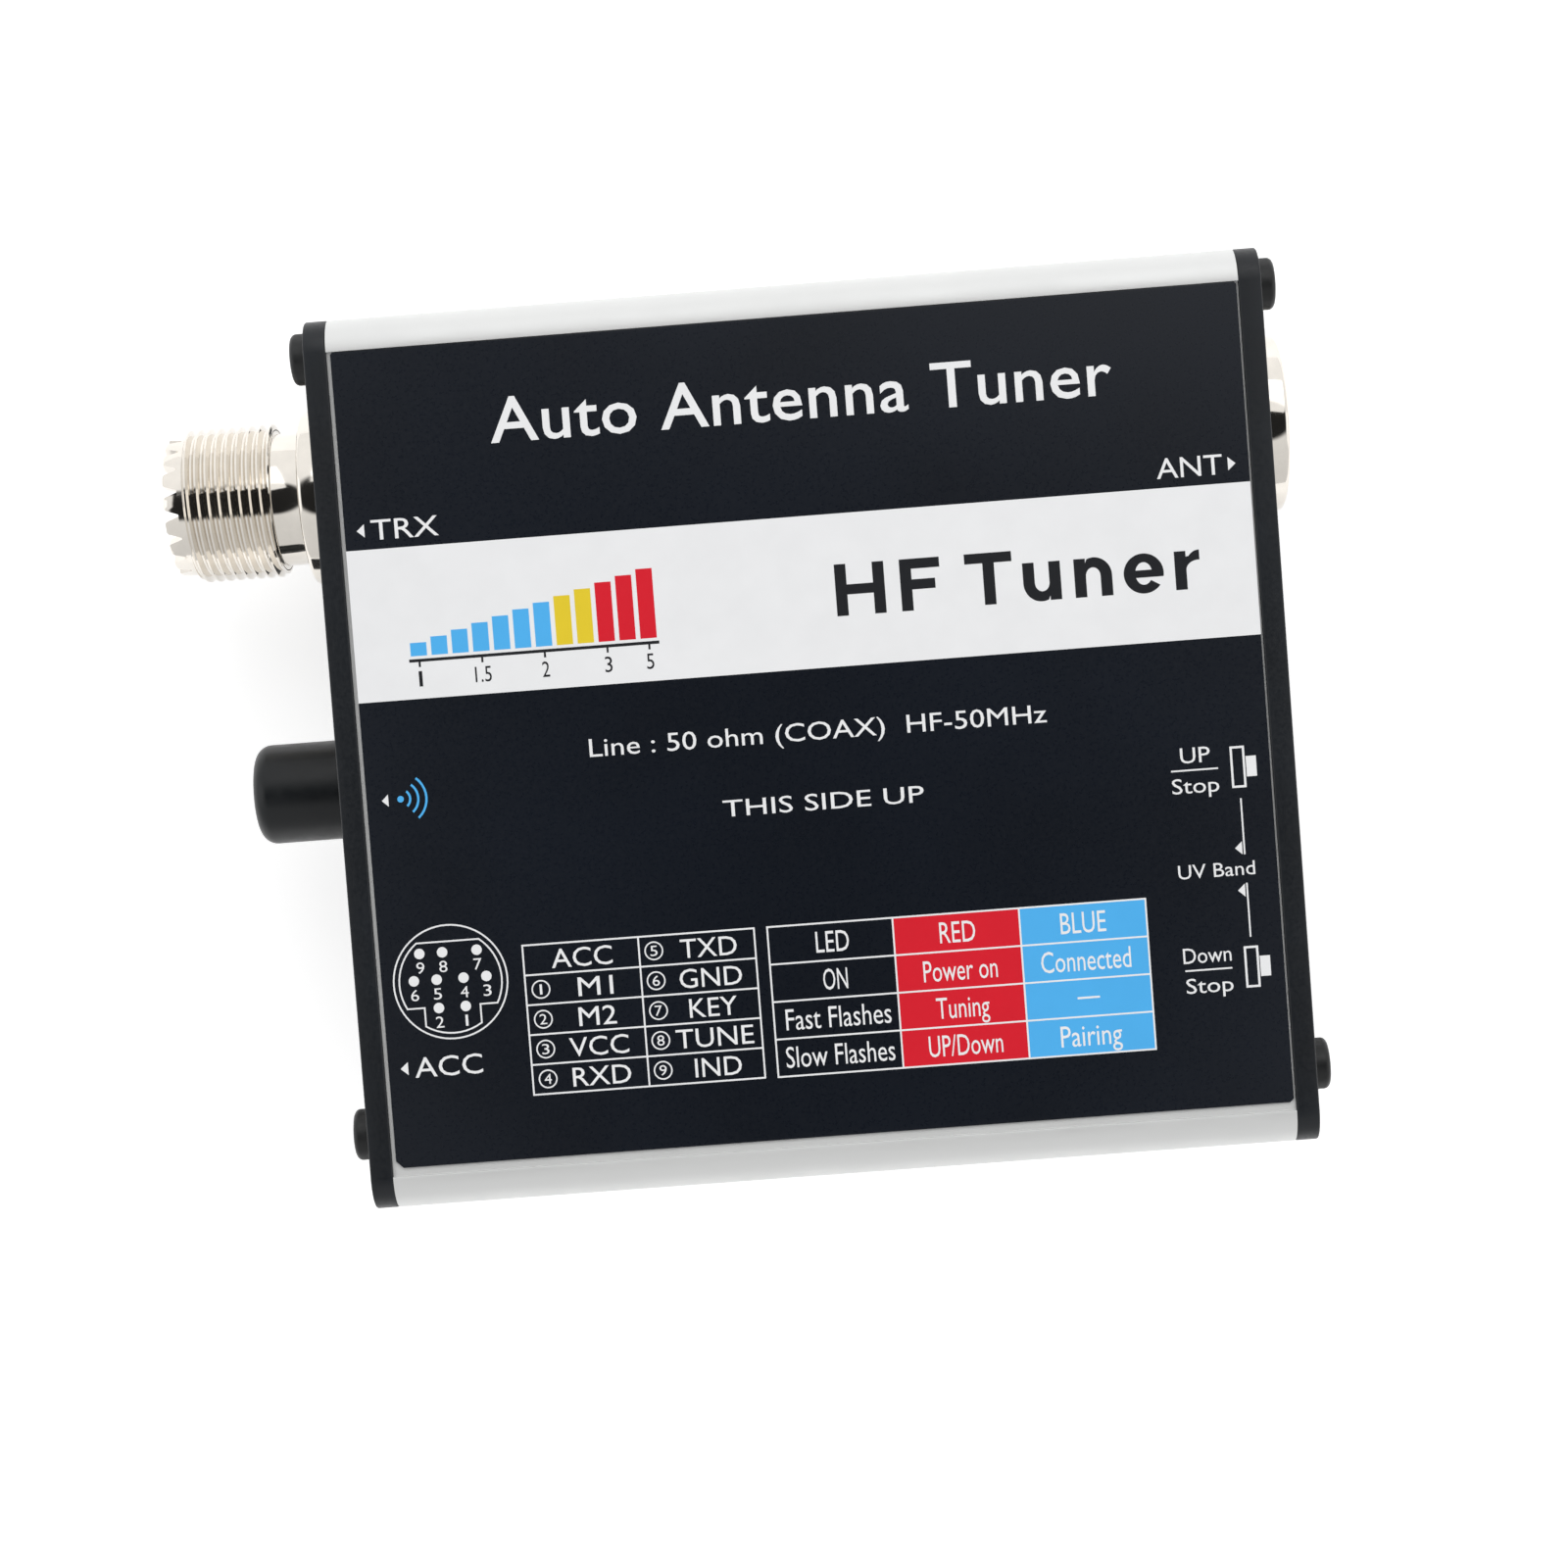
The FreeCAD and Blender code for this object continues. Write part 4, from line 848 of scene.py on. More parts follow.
class TUNER_OT_trx_jack(Operator):
    """Transceiver jack: flange, neck, outer thread and toothed mouth"""

    bl_idname = "tuner.trx_jack"
    bl_label = "Transceiver jack"

    def execute(self, context):
        sizes = context.scene.tuner_sizes
        finish = finishes()["nickel"]
        low, high, middle = box_and_axis("trx_jack_body")
        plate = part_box("left_end_plate")[0].x
        flange = plate - 3.4 * MM
        neck = flange - 3.05 * MM
        crown = low.x + 2.0 * MM
        teeth = low.x + sizes.tooth_height
        crest, neck_radius, outer, mouth = mm(7.9375, 6.85, 7.1, 5.9)
        root, pitch = crest - sizes.thread_depth, sizes.thread_pitch
        outline = [(high.x, BARREL), (plate, BARREL), (plate, FLANGE), (flange, FLANGE),
                   (flange, neck_radius), (neck, neck_radius), (neck, root),
                   (crown, root), (crown, outer), (teeth, outer), (teeth, mouth),
                   (high.x, mouth)]
        soft = mm(0.1, 0, 0.25, 0.45, 0.3, 0.1, 0, 0, 0, 0, 0, 0.1)
        body = plain_mesh("jack", turned_shape(eased(outline, soft), middle, 128))
        turns = abs(crown - neck) / pitch + 2.0
        ridge = thread_ridge("ridge", finish, root, sizes.thread_depth, pitch, turns,
                             (neck + pitch, *middle), -1.0)
        self.cut_square(ridge, neck, 1)
        self.cut_square(ridge, crown, -1)
        tooth = self.tooth(sizes.tooth_count, low.x, teeth, outer, mouth)
        crown_teeth = ring_of("teeth", finish, tooth, sizes.tooth_count, (1, 0, 0),
                              (0, *middle))
        piece = joined("trx_jack", [body, ridge, crown_teeth], 38)
        settle(piece, "nickel", "trx_jack_body")

        front, back = (corner.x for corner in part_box("trx_jack_insulator"))
        inner, wide = mm(2.85, 5.85)
        turned_piece("trx_insulator", "white_insulator", "trx_jack_insulator",
                     [(back, wide), (front, wide), (front, inner), (back, inner)],
                     mm(0, 0.25, 0.25, 0), middle=middle)
        self.contact(middle)
        return {"FINISHED"}

    def cut_square(self, mesh, end, side):
        """Stop the thread square where the neck or the toothed ring begins."""
        bm = bmesh.new()
        bm.from_mesh(mesh)
        cut = bmesh.ops.bisect_plane(
            bm, geom=bm.verts[:] + bm.edges[:] + bm.faces[:], plane_co=(end, 0, 0),
            plane_no=(side, 0, 0), clear_outer=True)
        rim = [part for part in cut["geom_cut"] if isinstance(part, bmesh.types.BMEdge)]
        bmesh.ops.triangle_fill(bm, use_beauty=True, edges=rim)
        bmesh.ops.recalc_face_normals(bm, faces=bm.faces)
        bm.to_mesh(mesh)
        bm.free()

    def tooth(self, count, tip, base, outer, mouth):
        """One tooth with sloping flanks, at the top of the ring."""
        bm = bmesh.new()
        half = math.pi / count
        into_ring, shoulder, chamfer = mm(0.15, 0.18, 0.12)
        rows = []
        for x, share in ((base + into_ring, 0.96), (tip + shoulder, 0.54), (tip, 0.40)):
            inset = chamfer if x == tip else 0.0
            spots = [(mouth + inset, part) for part in (-1.0, -0.33, 0.33, 1.0)]
            spots += [(outer - inset, part) for part in (1.0, 0.33, -0.33, -1.0)]
            rows.append([bm.verts.new((x, reach * math.sin(half * share * part),
                                       reach * math.cos(half * share * part)))
                         for reach, part in spots])
        for first, second in zip(rows, rows[1:]):
            bridge(bm, first, second)
        for row in (rows[0], rows[-1]):
            for index in range(3):
                bm.faces.new((row[index], row[index + 1], row[6 - index],
                              row[7 - index]))
        bmesh.ops.recalc_face_normals(bm, faces=bm.faces)
        return plain_mesh("tooth", bm)

    def contact(self, middle):
        """Centre contact: a turned body whose front is split into four leaves."""
        low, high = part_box("trx_jack_contact")
        pin, bore, outer = mm(1.5, 2.0, 2.8)
        tail, leaf = high.x - 3.0 * MM, low.x + 7.0 * MM
        outline = [(high.x, 0), (high.x, pin), (tail, pin), (tail, outer), (leaf, outer),
                   (leaf, bore), (low.x + 13 * MM, bore), (low.x + 14 * MM, 0)]
        profile = eased(outline, mm(0, 0.2, 0, 0, 0, 0, 0, 0), closed=False)
        body = plain_mesh("contact_body", turned_shape(profile, middle, 64, closed=False))
        section = eased([(leaf, bore), (leaf, outer), (low.x, outer), (low.x, bore)],
                        mm(0, 0, 0.2, 0.25))
        leaves = ring_of("leaves", finishes()["contact_brass"],
                         part_turned(section, 81.0, 14), 4, (1, 0, 0), (0, *middle))
        settle(joined("trx_contact", [body, leaves]), "contact_brass", "trx_jack_contact")


class TUNER_OT_antenna_socket(Operator):
    """Antenna socket: flange with a threaded bore"""

    bl_idname = "tuner.antenna_socket"
    bl_label = "Antenna socket"

    def execute(self, context):
        low, high, middle = box_and_axis("ant_socket_body")
        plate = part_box("right_end_plate")[1].x
        floor = high.x - 8.0 * MM
        crest, ridge, pitch, pin_hole = mm(4.25, 0.75, 1.5, 2.8)
        bore, turns = crest + ridge, 4.4
        outline = [(low.x, BARREL), (plate, BARREL), (plate, FLANGE), (high.x, FLANGE),
                   (high.x, bore + 0.35 * MM), (high.x - 0.45 * MM, bore),
                   (floor, bore), (floor, pin_hole), (low.x, pin_hole)]
        soft = mm(0.1, 0, 0.25, 0.45, 0, 0, 0, 0.1, 0.1)
        body = plain_mesh("socket", turned_shape(eased(outline, soft), middle, 128))
        inner = thread_ridge("inner_ridge", finishes()["nickel"], bore, -ridge, pitch,
                             turns, (floor + pitch * 0.55, *middle))
        piece = joined("antenna_socket", [body, inner], 38)
        settle(piece, "nickel", "ant_socket_body")

        back, front = (corner.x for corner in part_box("ant_socket_insulator"))
        outer, hole = mm(2.75, 1.55)
        turned_piece("antenna_insulator", "white_insulator", "ant_socket_insulator",
                     [(back, outer), (front, outer), (front, hole), (back, hole)],
                     mm(0.1, 0.2, 0.15, 0.1), steps=64, middle=middle)
        back, front = (corner.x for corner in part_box("ant_socket_contact"))
        outer, mouth, seat = mm(1.5, 0.75, 0.6)
        turned_piece("antenna_contact", "contact_brass", "ant_socket_contact",
                     [(back, 0), (back, outer), (front, outer), (front, mouth),
                      (front - 1.6 * MM, seat), (front - 1.9 * MM, 0)],
                     mm(0, 0.2, 0.2, 0.1, 0, 0), closed=False, steps=64, middle=middle)
        return {"FINISHED"}


class TUNER_OT_stub_antenna(Operator):
    """Rubber-covered stub antenna with a rounded tip"""

    bl_idname = "tuner.stub_antenna"
    bl_label = "Stub antenna"

    def execute(self, context):
        low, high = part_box("stub_antenna_sleeve")
        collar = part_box("stub_antenna_collar")[0].x
        gap, pinch = mm(0.05, 0.12)
        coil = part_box("stub_antenna_coil")[0].x - gap
        radius = half_height("stub_antenna_sleeve")
        room = half_height("stub_antenna_collar") + gap
        coil_room = half_height("stub_antenna_coil") + gap
        waist = high.x - 1.1 * MM
        outline = [(low.x, 0), (low.x, radius), (waist, radius),
                   (waist + 0.25 * MM, radius - pinch), (high.x, radius - pinch),
                   (high.x, room), (collar, room), (collar, coil_room),
                   (coil, coil_room), (coil, 0)]
        tip = context.scene.tuner_sizes.stub_round
        soft = [0, tip] + mm(0.3, 0.2, 0.3, 0.2, 0, 0, 0, 0)
        turned_piece("stub_antenna", "black_rubber", "stub_antenna_sleeve", outline, soft,
                     closed=False, steps=128, corner_steps=9)
        return {"FINISHED"}


class TUNER_OT_accessory_socket(Operator):
    """Nine-hole round accessory socket: metal shell, keyed insulator and block"""

    bl_idname = "tuner.accessory_socket"
    bl_label = "Accessory socket"

    def execute(self, context):
        low, high, middle = box_and_axis("acc_socket_shell")
        wall, gap, pin_depth, pin = mm(0.35, 0.05, 7.0, 0.5)
        outer = half_height("acc_socket_shell")
        inner = outer - wall
        turned_piece("acc_shell", "nickel", "acc_socket_shell",
                     [(high.x, outer), (low.x, outer), (low.x, inner), (high.x, inner)],
                     0.12 * MM)
        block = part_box("acc_socket_block")
        face, seat = (corner.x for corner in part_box("acc_socket_insert"))
        square = rounded_box(block[0].y, block[1].y, block[0].z, block[1].z, 0.5 * MM, 4)
        self.stacked("acc_block", "acc_socket_block", (
            ([square], seat, block[1].x, 0.0),
            ([square, circle(middle, inner, 72)], high.x, seat, 0.0),
            ([square, circle(middle, outer + gap, 72)], block[0].x, high.x, 0.0)))
        core = [circle(middle, inner - gap, 72)]
        pins = [circle(place, pin, 24) for place in self.pins()]
        self.stacked("acc_insert", "acc_socket_insert", (
            (core, face + pin_depth, seat, 0.0),
            (core + pins, block[0].x, face + pin_depth, 0.0),
            ([self.keyed_outline(middle)] + pins, face, block[0].x, 0.08 * MM)))
        return {"FINISHED"}

    def keyed_outline(self, middle, steps=72):
        """Front of the insert: a circle with a square notch at the bottom."""
        radius, half_key, notch = mm(3.45, 0.85, 0.7)
        edge = []
        for step in range(steps + 1):
            angle = math.radians(-90) + 2 * math.pi * step / steps
            across, up = radius * math.cos(angle), radius * math.sin(angle)
            if up > 0 or abs(across) >= half_key:
                edge.append((middle[0] + across, middle[1] + up))
        return edge + [(middle[0] + side, middle[1] - radius + notch)
                       for side in (-half_key, half_key)]

    def stacked(self, name, node, parts):
        """One moulding made of outlines stacked along X."""
        whole = bmesh.new()
        for outlines, start, end, bevel in parts:
            bm = flat_shape(name, outlines, end - start, bevel)
            bmesh.ops.transform(bm, verts=bm.verts, matrix=across_x(start))
            mesh = plain_mesh(name, bm)
            whole.from_mesh(mesh)
            bpy.data.meshes.remove(mesh)
        settle(mesh_piece(name, whole), "black_plastic", node)

    def pins(self):
        """Pin places, read from the CAD contacts."""
        groups = []
        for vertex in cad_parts["acc_socket_contacts"].data.vertices:
            spot = Vector((vertex.co.y, vertex.co.z))
            for group in groups:
                if (group[0] - spot).length < 0.9 * MM:
                    group.append(spot)
                    break
            else:
                groups.append([spot])
        return [middle_of(group, (0, 1)) for group in groups]


class TUNER_OT_buttons_and_lamps(Operator):
    """UP and DOWN buttons, each on its own body, and the three lamps"""

    bl_idname = "tuner.buttons_and_lamps"
    bl_label = "Buttons and lamps"

    def execute(self, context):
        for side in ("up", "down"):
            self.button(side + "_button", side + "_key")
        for node, slot in (("lamp_red", "red_lens"), ("lamp_blue", "blue_lens"),
                           ("lamp_band", "amber_lens")):
            self.lamp(node, slot)
        return {"FINISHED"}

    def button(self, node, body):
        """Round button with a shoulder that keeps it behind the plate."""
        low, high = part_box(node)
        shoulder = half_height(node)
        radius = shoulder - 0.55 * MM
        step = low.x + 0.9 * MM
        outline = [(low.x, 0), (low.x, shoulder), (step, shoulder), (step, radius),
                   (high.x - 0.06 * MM, radius), (high.x, 0)]
        turned_piece(node + "_cap", "black_plastic", node, outline,
                     mm(0, 0.15, 0.15, 0, 0.35, 0), closed=False, steps=72,
                     corner_steps=6, body=body)

    def lamp(self, node, slot, steps=12):
        """Flanged lens with a round end, on two leads."""
        low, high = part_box(node)
        middle = lamp_axis(node)
        flange, dome = low.x + 1.0 * MM, high.x - LAMP_LENS
        outline = [(flange, 0), (flange, LAMP_FLANGE), (flange + 1.0 * MM, LAMP_FLANGE),
                   (flange + 1.0 * MM, LAMP_LENS), (dome, LAMP_LENS)]
        profile = eased(outline, mm(0, 0.12, 0.12, 0, 0), closed=False, steps=3)
        for step in range(1, steps + 1):
            angle = math.pi / 2 * step / steps
            profile.append((dome + LAMP_LENS * math.sin(angle),
                            LAMP_LENS * math.cos(angle) if step < steps else 0))
        bm = turned_shape(profile, middle, 64, closed=False)
        for side in (-1, 1):
            self.bent_lead(bm, flange + 0.1 * MM, low.x, middle[1], low.z,
                           middle[0] + side * 1.27 * MM)
        settle(mesh_piece(node + "_lens", bm), slot, node)

    def bent_lead(self, bm, start, back, height, bottom, across, width=0.5 * MM):
        """Square lead that leaves a lamp flat and turns down to the board."""
        half = width / 2
        outline = [(start, height + half), (back, height + half), (back, bottom),
                   (back + width, bottom), (back + width, height - half),
                   (start, height - half)]
        sides = [[bm.verts.new((x, y, z)) for x, z in outline]
                 for y in (across - half, across + half)]
        bridge(bm, *sides)
        for side in sides:
            bm.faces.new(side)


class TUNER_OT_inside(Operator):
    """Finishes of the parts inside the case, and the inductors' turns of wire"""

    bl_idname = "tuner.inside"
    bl_label = "Inside parts"

    def execute(self, context):
        wire, core_hole = mm(0.6, 5.0)
        turns, sweep = 26, math.radians(334)
        for number in (1, 2):
            node = "inductor_winding_%d" % number
            low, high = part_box(node)
            middle = (low + high) / 2
            turn = self.wire_turn(core_hole + wire, (high.x - low.x) / 2 - wire,
                                  low.z + wire, high.z - wire, wire * 0.97)
            mesh = ring_of("turns", finishes()["enamelled_wire"], turn, turns, (0, 0, 1),
                           (middle.x, middle.y, 0), sweep)
            piece = joined("inductor_wire_%d" % number, [mesh], 60)
            settle(piece, "enamelled_wire", node)
        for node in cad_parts.values():
            for slot in node.material_slots:
                key = slot.material.name.split(".")[0]
                if key in finishes():
                    slot.material = finishes()[key]
        return {"FINISHED"}

    def wire_turn(self, inner, outer, bottom, top, radius, sides=6):
        """One turn of wire round a ring core, at the core's +X side."""
        path = eased([(inner, bottom), (outer, bottom), (outer, top), (inner, top)],
                     1.0 * MM, steps=2)
        bm = bmesh.new()
        middle = Vector(((inner + outer) / 2, (bottom + top) / 2))
        rings = []
        for index, spot in enumerate(path):
            after = Vector(path[(index + 1) % len(path)])
            along = (after - Vector(path[index - 1])).normalized()
            outward = Vector((along.y, -along.x)) * radius
            if outward.dot(Vector(spot) - middle) < 0:
                outward = -outward
            angles = [2 * math.pi * step / sides for step in range(sides)]
            rings.append([bm.verts.new((spot[0] + outward.x * math.cos(angle),
                                        radius * math.sin(angle),
                                        spot[1] + outward.y * math.cos(angle)))
                          for angle in angles])
        for first, second in zip(rings, rings[1:] + rings[:1]):
            bridge(bm, first, second)
        bmesh.ops.recalc_face_normals(bm, faces=bm.faces)
        return plain_mesh("turn", bm)


# ---------------------------------------------------------------- printed top

class Artwork:
    """Gathers the shapes of each ink, in millimetres, before they become pieces."""

    def __init__(self, face, ink):
        self.face = face
        self.ink = ink
        self.layers = {}

    def layer(self, ink, level):
        return self.layers.setdefault((ink, level), bmesh.new())

    def heights(self, level):
        """Bottom and top of a layer, which starts a little inside what it lies on."""
        return (self.face + (level - 0.5) * self.ink * 0.6,
                self.face + (level + 1) * self.ink)

    def solid(self, ink, outline, level=0):
        """A filled outline."""
        bm = self.layer(ink, level)
        rows = [[bm.verts.new((x * MM, y * MM, z)) for x, y in outline]
                for z in self.heights(level)]
        bridge(bm, *rows)
        for row in rows:
            bm.faces.new(row)

    def stroke(self, ink, points, width, level=0):
        """A closed line of even width."""
        count = len(points)
        sides = ([], [])
        for index, point in enumerate(points):
            before = (Vector(point) - Vector(points[index - 1])).normalized()
            after = (Vector(points[(index + 1) % count]) - Vector(point)).normalized()
            normal = Vector((-(before.y + after.y), before.x + after.x)).normalized()
            reach = width / 2 / max(0.4, normal.dot(Vector((-after.y, after.x))))
            for side, sign in zip(sides, (1, -1)):
                side.append((point[0] + normal.x * reach * sign,
                             point[1] + normal.y * reach * sign))
        bm = self.layer(ink, level)
        rows = [[[bm.verts.new((x * MM, y * MM, z)) for x, y in side] for side in sides]
                for z in self.heights(level)]
        for side in range(2):
            bridge(bm, rows[0][side], rows[1][side])
        for row in rows:
            bridge(bm, *row)

    def bar(self, ink, left, right, low, high, level=0):
        self.solid(ink, [(left, low), (right, low), (right, high), (left, high)], level)

    def ring(self, ink, x, y, radius, width, level=0, steps=40):
        self.stroke(ink, circle((x, y), radius, steps), width, level)

    def grid(self, ink, columns, rows, width, level=0):
        """Ruled table lines."""
        half = width / 2
        for x in columns:
            self.bar(ink, x - half, x + half, rows[0] - half, rows[-1] + half, level)
        spans = list(zip(columns, columns[1:]))
        for y in rows:
            for left, right in spans:
                self.bar(ink, left + half, right - half, y - half, y + half, level)

    def words(self, ink, text, left, right, base, cap, level=0, weight=0.0, spacing=1.0):
        """Lettering that fills a width, its capitals of a height above a base line."""
        curve = bpy.data.curves.new("lettering", "FONT")
        curve.body = text
        curve.resolution_u = 3
        curve.offset = weight
        curve.space_character = spacing
        curve.extrude = 0.5
        mesh = evaluated_mesh(link(bpy.data.objects.new("lettering", curve)), "lettering")
        xs = [vertex.co.x for vertex in mesh.vertices]
        across = (right - left) * MM / (max(xs) - min(xs))
        up = cap * MM / (CAPITAL + 2 * weight)
        low, high = self.heights(level)
        mesh.transform(Matrix.Translation((-min(xs), weight, 0.5)))
        mesh.transform(Matrix.Diagonal((across, up, high - low, 1)))
        mesh.transform(Matrix.Translation((left * MM, base * MM, low)))
        self.layer(ink, level).from_mesh(mesh)
        bpy.data.meshes.remove(mesh)

    def pieces(self):
        for (ink, level), bm in self.layers.items():
            name = "print_" + ink.replace("_ink", "") + ("_upper" if level else "")
            settle(mesh_piece(name, bm, 20), "printed_film", finish=ink)


class TUNER_OT_film(Operator):
    """Dark film that lies in the recess of the top"""

    bl_idname = "tuner.film"
    bl_label = "Film"

    def execute(self, context):
        sizes = context.scene.tuner_sizes
        low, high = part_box("top_label")
        cut = sizes.film_corner
        outline = [(low.x + cut, low.y), (high.x - cut * 0.5, low.y),
                   (high.x, low.y + cut * 0.5), (high.x, high.y - 0.2 * MM),
                   (high.x - 0.2 * MM, high.y), (low.x + 0.2 * MM, high.y),
                   (low.x, high.y - 0.2 * MM), (low.x, low.y + cut)]
        bm = flat_shape("film", [outline], high.z - low.z, 0.04 * MM)
        bmesh.ops.translate(bm, verts=bm.verts, vec=(0, 0, low.z))
        settle(mesh_piece("label_film", bm, 30), "printed_film", "top_label")
        return {"FINISHED"}


class TUNER_OT_printing(Operator):
    """Everything printed on the film: band, lettering, tables, socket and button signs"""

    bl_idname = "tuner.printing"
    bl_label = "Printing"

    def execute(self, context):
        low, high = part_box("top_label")
        art = Artwork(high.z, context.scene.tuner_sizes.ink)
        self.band(art, low.x / MM, high.x / MM)
        self.names(art)
        self.socket_sign(art, -37.3, -21.7)
        self.pin_table(art)
        self.lamp_table(art)
        self.button_signs(art)
        art.pieces()
        return {"FINISHED"}

    def band(self, art, left, right):
        """Light band with the unit's name and a bar meter."""
        art.bar("white_ink", left, right, 6.2, 21.1)
        self.bold_name(art, 3.3, 11.1)
        first, step, width = -38.6, 2.05, 1.6
        for index in range(12):
            ink = "sky_ink" if index < 7 else "yellow_ink" if index < 9 else "red_ink"
            start = first + step * index
            art.bar(ink, start, start + width, 10.4, 11.7 + 0.5 * index, 1)
        art.bar("black_ink", first - 0.2, first + step * 11 + width + 0.2, 9.8, 10.1, 1)
        for text, place in (("1", 0), ("1.5", 3), ("2", 6), ("3", 9), ("5", 11)):
            centre = first + step * place + width / 2
            half = {"1": 0.17, "1.5": 0.8}.get(text, 0.36)
            art.bar("black_ink", centre - 0.1, centre + 0.1, 9.3, 9.8, 1)
            art.words("black_ink", text, centre - half, centre + half, 7.4, 1.5, 1)

    def bold_name(self, art, left, base):
        """The words HF Tuner in plain heavy strokes, each letter one or two outlines."""
        cap, small, heavy, thin, wide = 5.05, 3.75, 1.12, 0.98, 3.67

        def shape(x, points):
            art.solid("black_ink", [(left + x + across, base + up) for across, up in points],
                      1)

        def curve(middle, up, reach, tall, start, end, steps=20):
            return [(middle + reach * math.cos(math.radians(start + (end - start) * k / steps)),
                     up + tall * math.sin(math.radians(start + (end - start) * k / steps)))
                    for k in range(steps + 1)]

        low, high = 2.05, 2.05 + thin
        shape(0, [(0, 0), (heavy, 0), (heavy, low), (3.7, low), (3.7, 0), (3.7 + heavy, 0),
                  (3.7 + heavy, cap), (3.7, cap), (3.7, high), (heavy, high), (heavy, cap),
                  (0, cap)])
        shape(6.35, [(0, 0), (heavy, 0), (heavy, low), (3.4, low), (3.4, high),
                     (heavy, high), (heavy, cap - thin), (3.9, cap - thin), (3.9, cap),
                     (0, cap)])
        shape(12.7, [(1.74, 0), (1.74 + heavy, 0), (1.74 + heavy, cap - thin),
                     (4.6, cap - thin), (4.6, cap), (0, cap), (0, cap - thin),
                     (1.74, cap - thin)])
        middle = wide / 2
        arch = ([(0, 0), (heavy, 0), (heavy, 2.0)] +
                curve(middle, 2.0, middle - heavy, 0.85, 178, 2) +
                [(wide - heavy, 0), (wide, 0)] +
                curve(middle + 0.1, 2.0, middle - 0.1, 1.82, 0, 112) +
                [(heavy, 3.3), (heavy, small), (0, small)])
        shape(18.3, [(wide - across, small - up) for across, up in arch])
        shape(23.3, arch)
        centre, up, reach, tall = 1.95, 1.87, 1.95, 1.95
        bar_low, bar_high = 1.48, 2.2

        def lean(height, radius):
            return math.degrees(math.asin((height - up) / radius))

        shape(28.1, curve(centre, up, reach, tall, lean(bar_high, tall), 322, 40) +
              curve(centre, up, reach - heavy, tall - 0.85, 322,
                    lean(bar_high, tall - 0.85), 40))
        inner = lean(bar_high, tall - 0.85), lean(bar_low, tall - 0.85)
        shape(28.1, curve(centre, up, reach - heavy, tall - 0.85, 180 - inner[0],
                          180 - inner[1], 4) +
              curve(centre, up, reach, tall, lean(bar_low, tall), lean(bar_high, tall), 4))
        shape(33.1, [(0, 0), (heavy, 0), (heavy, 1.9)] +
              curve(2.35, 1.9, 2.35 - heavy, 0.92, 178, 92) +
              [(2.45, 2.82), (2.45, small + 0.05)] +
              curve(2.35, 1.9, 1.35, 1.88, 92, 135) + [(heavy, 3.2), (heavy, small), (0, small)])

    def names(self, art):
        """Title, connector names and the lines of small lettering."""
        ink = "white_ink"
        art.words(ink, "Auto Antenna Tuner", -29.1, 31.6, 30.5, 4.4, 0, 0.007, 1.04)
        for text, left, right, base, arrow in (
                ("TRX", -41.5, -34.9, 22.0, -42.9), ("ANT", 35.3, 41.7, 22.0, 43.0),
                ("ACC", -41.5, -34.8, -30.9, -42.9)):
            art.words(ink, text, left, right, base, 1.95)
            inward = arrow + (0.75 if arrow < 0 else -0.75)
            centre = base + 0.97
            art.solid(ink, [(arrow, centre), (inward, centre - 0.65),
                            (inward, centre + 0.65)])
        art.words(ink, "Line : 50 ohm (COAX)  HF-50MHz", -21.9, 22.9, -0.75, 1.75)
        art.words(ink, "THIS SIDE UP", -9.3, 10.4, -7.6, 1.6)
        art.solid(ink, [(-42.6, -3.5), (-41.95, -4.1), (-41.95, -2.9)])
        art.solid("sky_ink", circle((-40.75, -3.45), 0.32, 20))
        for radius in (0.95, 1.75, 2.55):
            arc = [(-40.75 + reach * math.cos(angle), -3.45 + reach * math.sin(angle))
                   for reach, sweep in ((radius + 0.11, range(-50, 51, 10)),
                                        (radius - 0.11, range(50, -51, -10)))
                   for angle in map(math.radians, sweep)]
            art.solid("sky_ink", arc)

    def socket_sign(self, art, x, y):
        """Drawing of the accessory socket's face with its pin numbers."""
        ink = "white_ink"
        art.ring(ink, x, y, 5.6, 0.16, steps=72)
        radius, top, waist, key = 5.05, 4.0, -2.4, 2.75
        outline = []

        def arc(start, end, steps):
            for step in range(steps + 1):
                angle = start + (end - start) * step / steps
                outline.append((x + radius * math.cos(angle), y + radius * math.sin(angle)))

        arc(math.asin(top / radius), math.asin(waist / radius), 14)
        outline.append((x + key, y + waist))
        end = math.acos(key / radius)
        arc(-end, end - math.pi, 10)
        outline.append((x - key, y + waist))
        arc(math.pi - math.asin(waist / radius), math.pi - math.asin(top / radius), 14)
        art.stroke(ink, outline, 0.16)
        for number, across, up in ((9, -2.85, 2.95), (8, -0.6, 2.95), (7, 2.8, 2.95),
                                   (6, -3.6, 0.3), (5, -1.35, 0.3), (4, 1.3, 0.3),
                                   (3, 3.55, 0.3), (2, -1.35, -2.5), (1, 1.3, -2.5)):
            art.solid(ink, circle((x + across, y + up), 0.52, 20))
            half = 0.4 if number > 1 else 0.13
            art.words(ink, str(number), x + across - half, x + across + half,
                      y + up - 1.95, 1.1)

